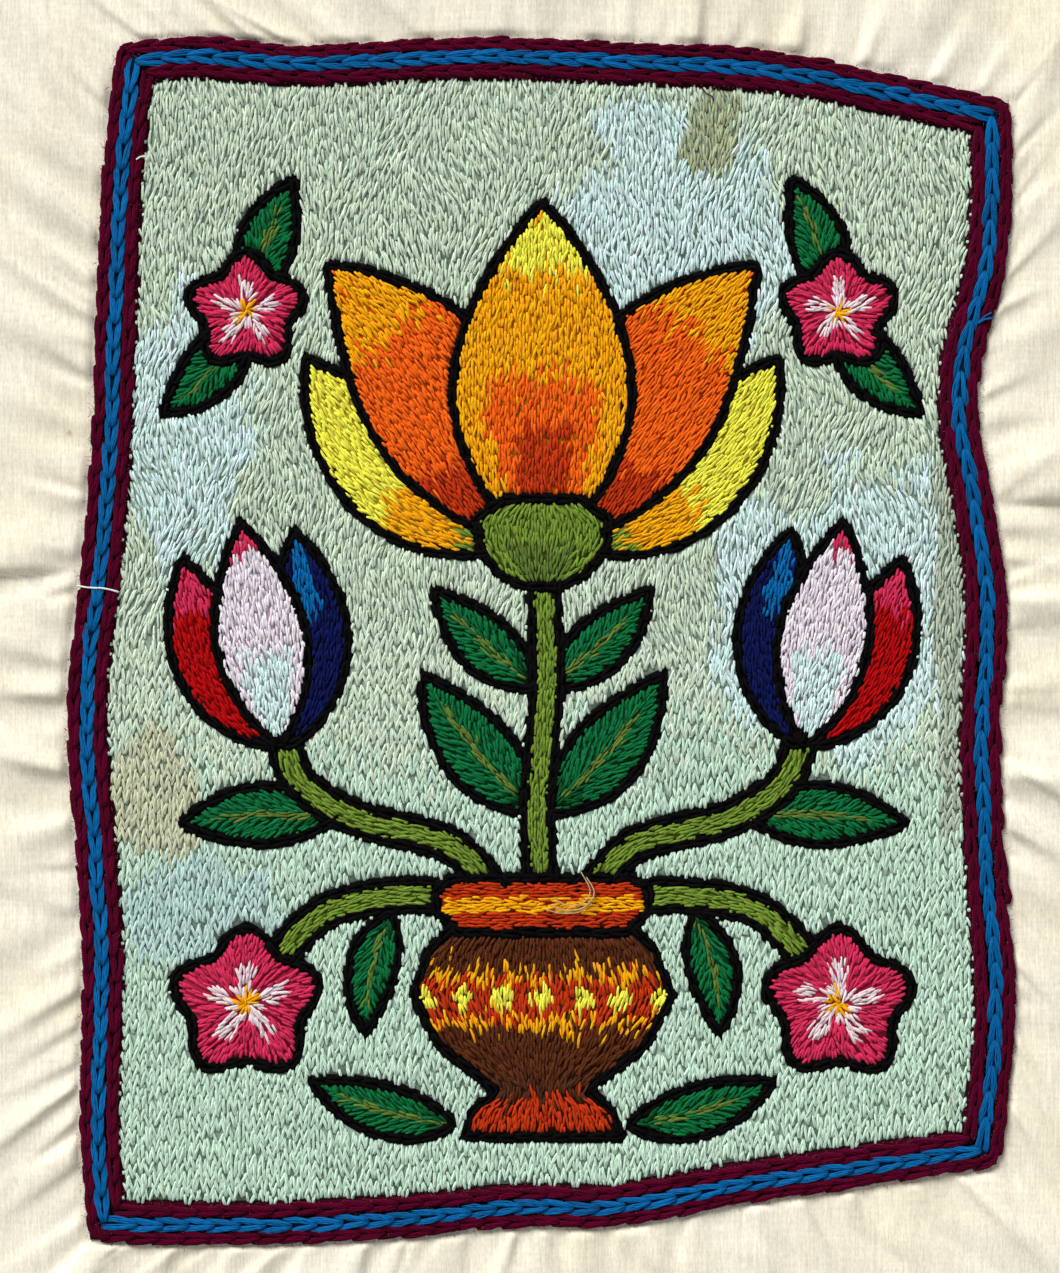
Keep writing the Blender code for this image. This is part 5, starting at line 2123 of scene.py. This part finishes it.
class LooseEnds:
    """The few thread ends and stray fibres that lie on the finished work."""

    STATIONS = 26
    ARCH = 0.12
    FULLNESS = 1.4
    ENDS = (
        LooseEnd(Dye.WHITE, 0.23, 2.95, ((-108.9, 12.2), (-105.6, 11.7), (-102.0, 11.5), (-98.2, 10.6))),
        LooseEnd(Dye.WHITE, 0.2, 2.9, ((-94.4, 114.2), (-93.2, 114.9), (-91.9, 115.0))),
        LooseEnd(Dye.BLUE, 0.24, 3.0, ((107.2, 75.0), (109.2, 76.0), (111.2, 76.3))),
        LooseEnd(Dye.BLUE, 0.2, 2.9, ((107.4, 75.2), (109.0, 76.7), (110.6, 77.6))),
        LooseEnd(Dye.MAROON, 0.15, 2.3, ((41.2, 131.6), (42.2, 130.2), (43.6, 129.4), (44.0, 128.0))),
        LooseEnd(Dye.BEIGE, 0.10, 2.3, ((100.4, -103.5), (101.2, -107.0), (100.6, -111.5), (101.2, -116.0))),
        LooseEnd(
            Dye.STRAW, 0.17, 3.0, ((4.6, -64.2), (8.5, -65.6), (13.0, -64.8), (15.4, -61.4), (13.4, -57.4))
        ),
        LooseEnd(
            Dye.STRAW, 0.15, 3.15, ((5.4, -62.6), (9.0, -64.4), (12.6, -63.8), (14.4, -60.8), (12.0, -56.0))
        ),
        LooseEnd(Dye.STRAW, 0.13, 2.9, ((3.6, -65.4), (7.5, -66.3), (12.0, -65.9), (15.0, -63.4))),
        LooseEnd(
            Dye.SAGE, 0.13, 2.3,
            ((-29.6, 100.4), (-29.4, 102.0), (-28.2, 102.4), (-27.8, 101.2), (-28.8, 100.6)),
        ),
    )

    def build(self) -> bpy.types.Object:
        """Lay each end as a thin round thread on a smooth curve through its route.

        Returns:
            The finished piece.
        """
        pile = ThreadPile(500)
        arch = self.ARCH * np.sin(math.pi * np.linspace(0.0, 1.0, self.STATIONS))
        for end in self.ENDS:
            middles = raised(through(end.route, self.STATIONS), end.level + arch)[None]
            width = np.full((1, self.STATIONS), end.half_width)
            height = width * self.FULLNESS
            pile.add_threads(middles, width, height, end.dye.linear[None], tipped(self.STATIONS))
        return pile.build("loose_thread_ends", SIX_STRAND_FLOSS, "cream_cotton", ())


@dataclass(frozen=True)
class Studio:
    """The pale floor, the soft light from the upper left and the camera straight above."""

    floor_half: float = 8.0
    floor_drop: float = -0.05
    floor_tone: tuple[float, float, float] = (0.80, 0.79, 0.77)
    sun_strength: float = 3.85
    sun_spread: float = 40.0
    sun_from: tuple[float, float, float] = (-0.5, 0.85, 0.72)
    sky_tone: tuple[float, float, float] = (0.97, 0.98, 1.0)
    sky_strength: float = 0.38
    camera_height: float = 1.5
    view_height: float = 0.3055
    sensor: float = 36.0

    def place(self, name: str, data: bpy.types.ID) -> bpy.types.Object:
        """Put a lamp or a camera into the scene and return its object."""
        holder = bpy.data.objects.new(name, data)
        bpy.context.scene.collection.objects.link(holder)
        return holder

    def floor(self) -> bpy.types.Object:
        """Lay the floor, a hair below the cloth's underside, as a grid of eight by eight.

        Returns:
            The floor.
        """
        grid = np.linspace(-1.0, 1.0, 9) * self.floor_half / METRES_PER_MM
        x, y = np.meshgrid(grid, grid)
        points = np.stack((x.ravel(), y.ravel(), np.full(x.size, self.floor_drop)), axis=1)
        row, column = np.meshgrid(np.arange(8), np.arange(8), indexing="ij")
        start = (row * 9 + column).ravel()
        quads = np.stack((start, start + 1, start + 10, start + 9), axis=1)
        made = mesh_object("floor", points, quads, NO_TRIANGLES)
        plain, wires, shader = new_material("pale_floor")
        wires.feed(shader, {"Base Color": (*self.floor_tone, 1.0), "Roughness": 0.9})
        made.data.materials.append(plain)
        made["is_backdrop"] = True
        return made

    def lights(self) -> None:
        """Set one broad soft light and an even sky."""
        lamp = bpy.data.lights.new("window_light", "SUN")
        lamp.energy = self.sun_strength
        lamp.angle = math.radians(self.sun_spread)
        x, y, z = self.sun_from
        turned = (0.0, math.atan2(math.hypot(x, y), z), math.atan2(y, x))
        self.place("window_light", lamp).rotation_euler = turned
        world = bpy.data.worlds.new("soft_sky")
        world.use_nodes = True
        sky = {"Color": (*self.sky_tone, 1.0), "Strength": self.sky_strength}
        Wiring(world.node_tree).feed(world.node_tree.nodes["Background"].inputs, sky)
        bpy.context.scene.world = world

    def camera(self) -> None:
        """Look straight down, with the picture's top upwards, at the photographed height."""
        lens = bpy.data.cameras.new("camera")
        lens.sensor_width = self.sensor
        lens.lens = self.sensor * self.camera_height / self.view_height
        lens.clip_end = 20.0
        holder = self.place("camera", lens)
        holder.location = (0.0, 0.0, self.camera_height)
        bpy.context.scene.camera = holder

    def build(self) -> None:
        """Set up the floor, the lights and the camera."""
        self.floor()
        self.lights()
        self.camera()
        bpy.context.scene.view_settings.view_transform = "Standard"


def main() -> None:
    """Build and dress every piece of the panel."""
    logging.basicConfig(level=logging.INFO, format="%(name)s %(message)s")
    border = Border()
    picture = Picture(border)
    ClothSheet().build(border)
    wool = (Dye.MAROON, "maroon_wool", WOOL_YARN)
    floss = (Dye.BLUE, "blue_floss", SIX_STRAND_FLOSS)
    rows = (
        BorderRow(RowPlace.OUTER, 3.1, *wool, 4600, YARN_CHAIN, (-1.8, 1.0)),
        BorderRow(RowPlace.MIDDLE, 0.0, *floss, 0, FLOSS_CHAIN, (-1.8, 1.8)),
        BorderRow(RowPlace.INNER, -3.2, *wool, 2400, YARN_CHAIN, (-2.2, 1.8)),
    )
    for row in rows:
        row.build(border)
    Ground(picture).build()
    PatchWork(picture).build()
    OutlineRows(picture).build()
    LooseEnds().build()
    Studio().build()
    boxes = {"cad": cad_box, "visual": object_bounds()}
    {name: [list(corner) for corner in box] for name, box in boxes.items()}


if __name__ == "__main__":
    main()
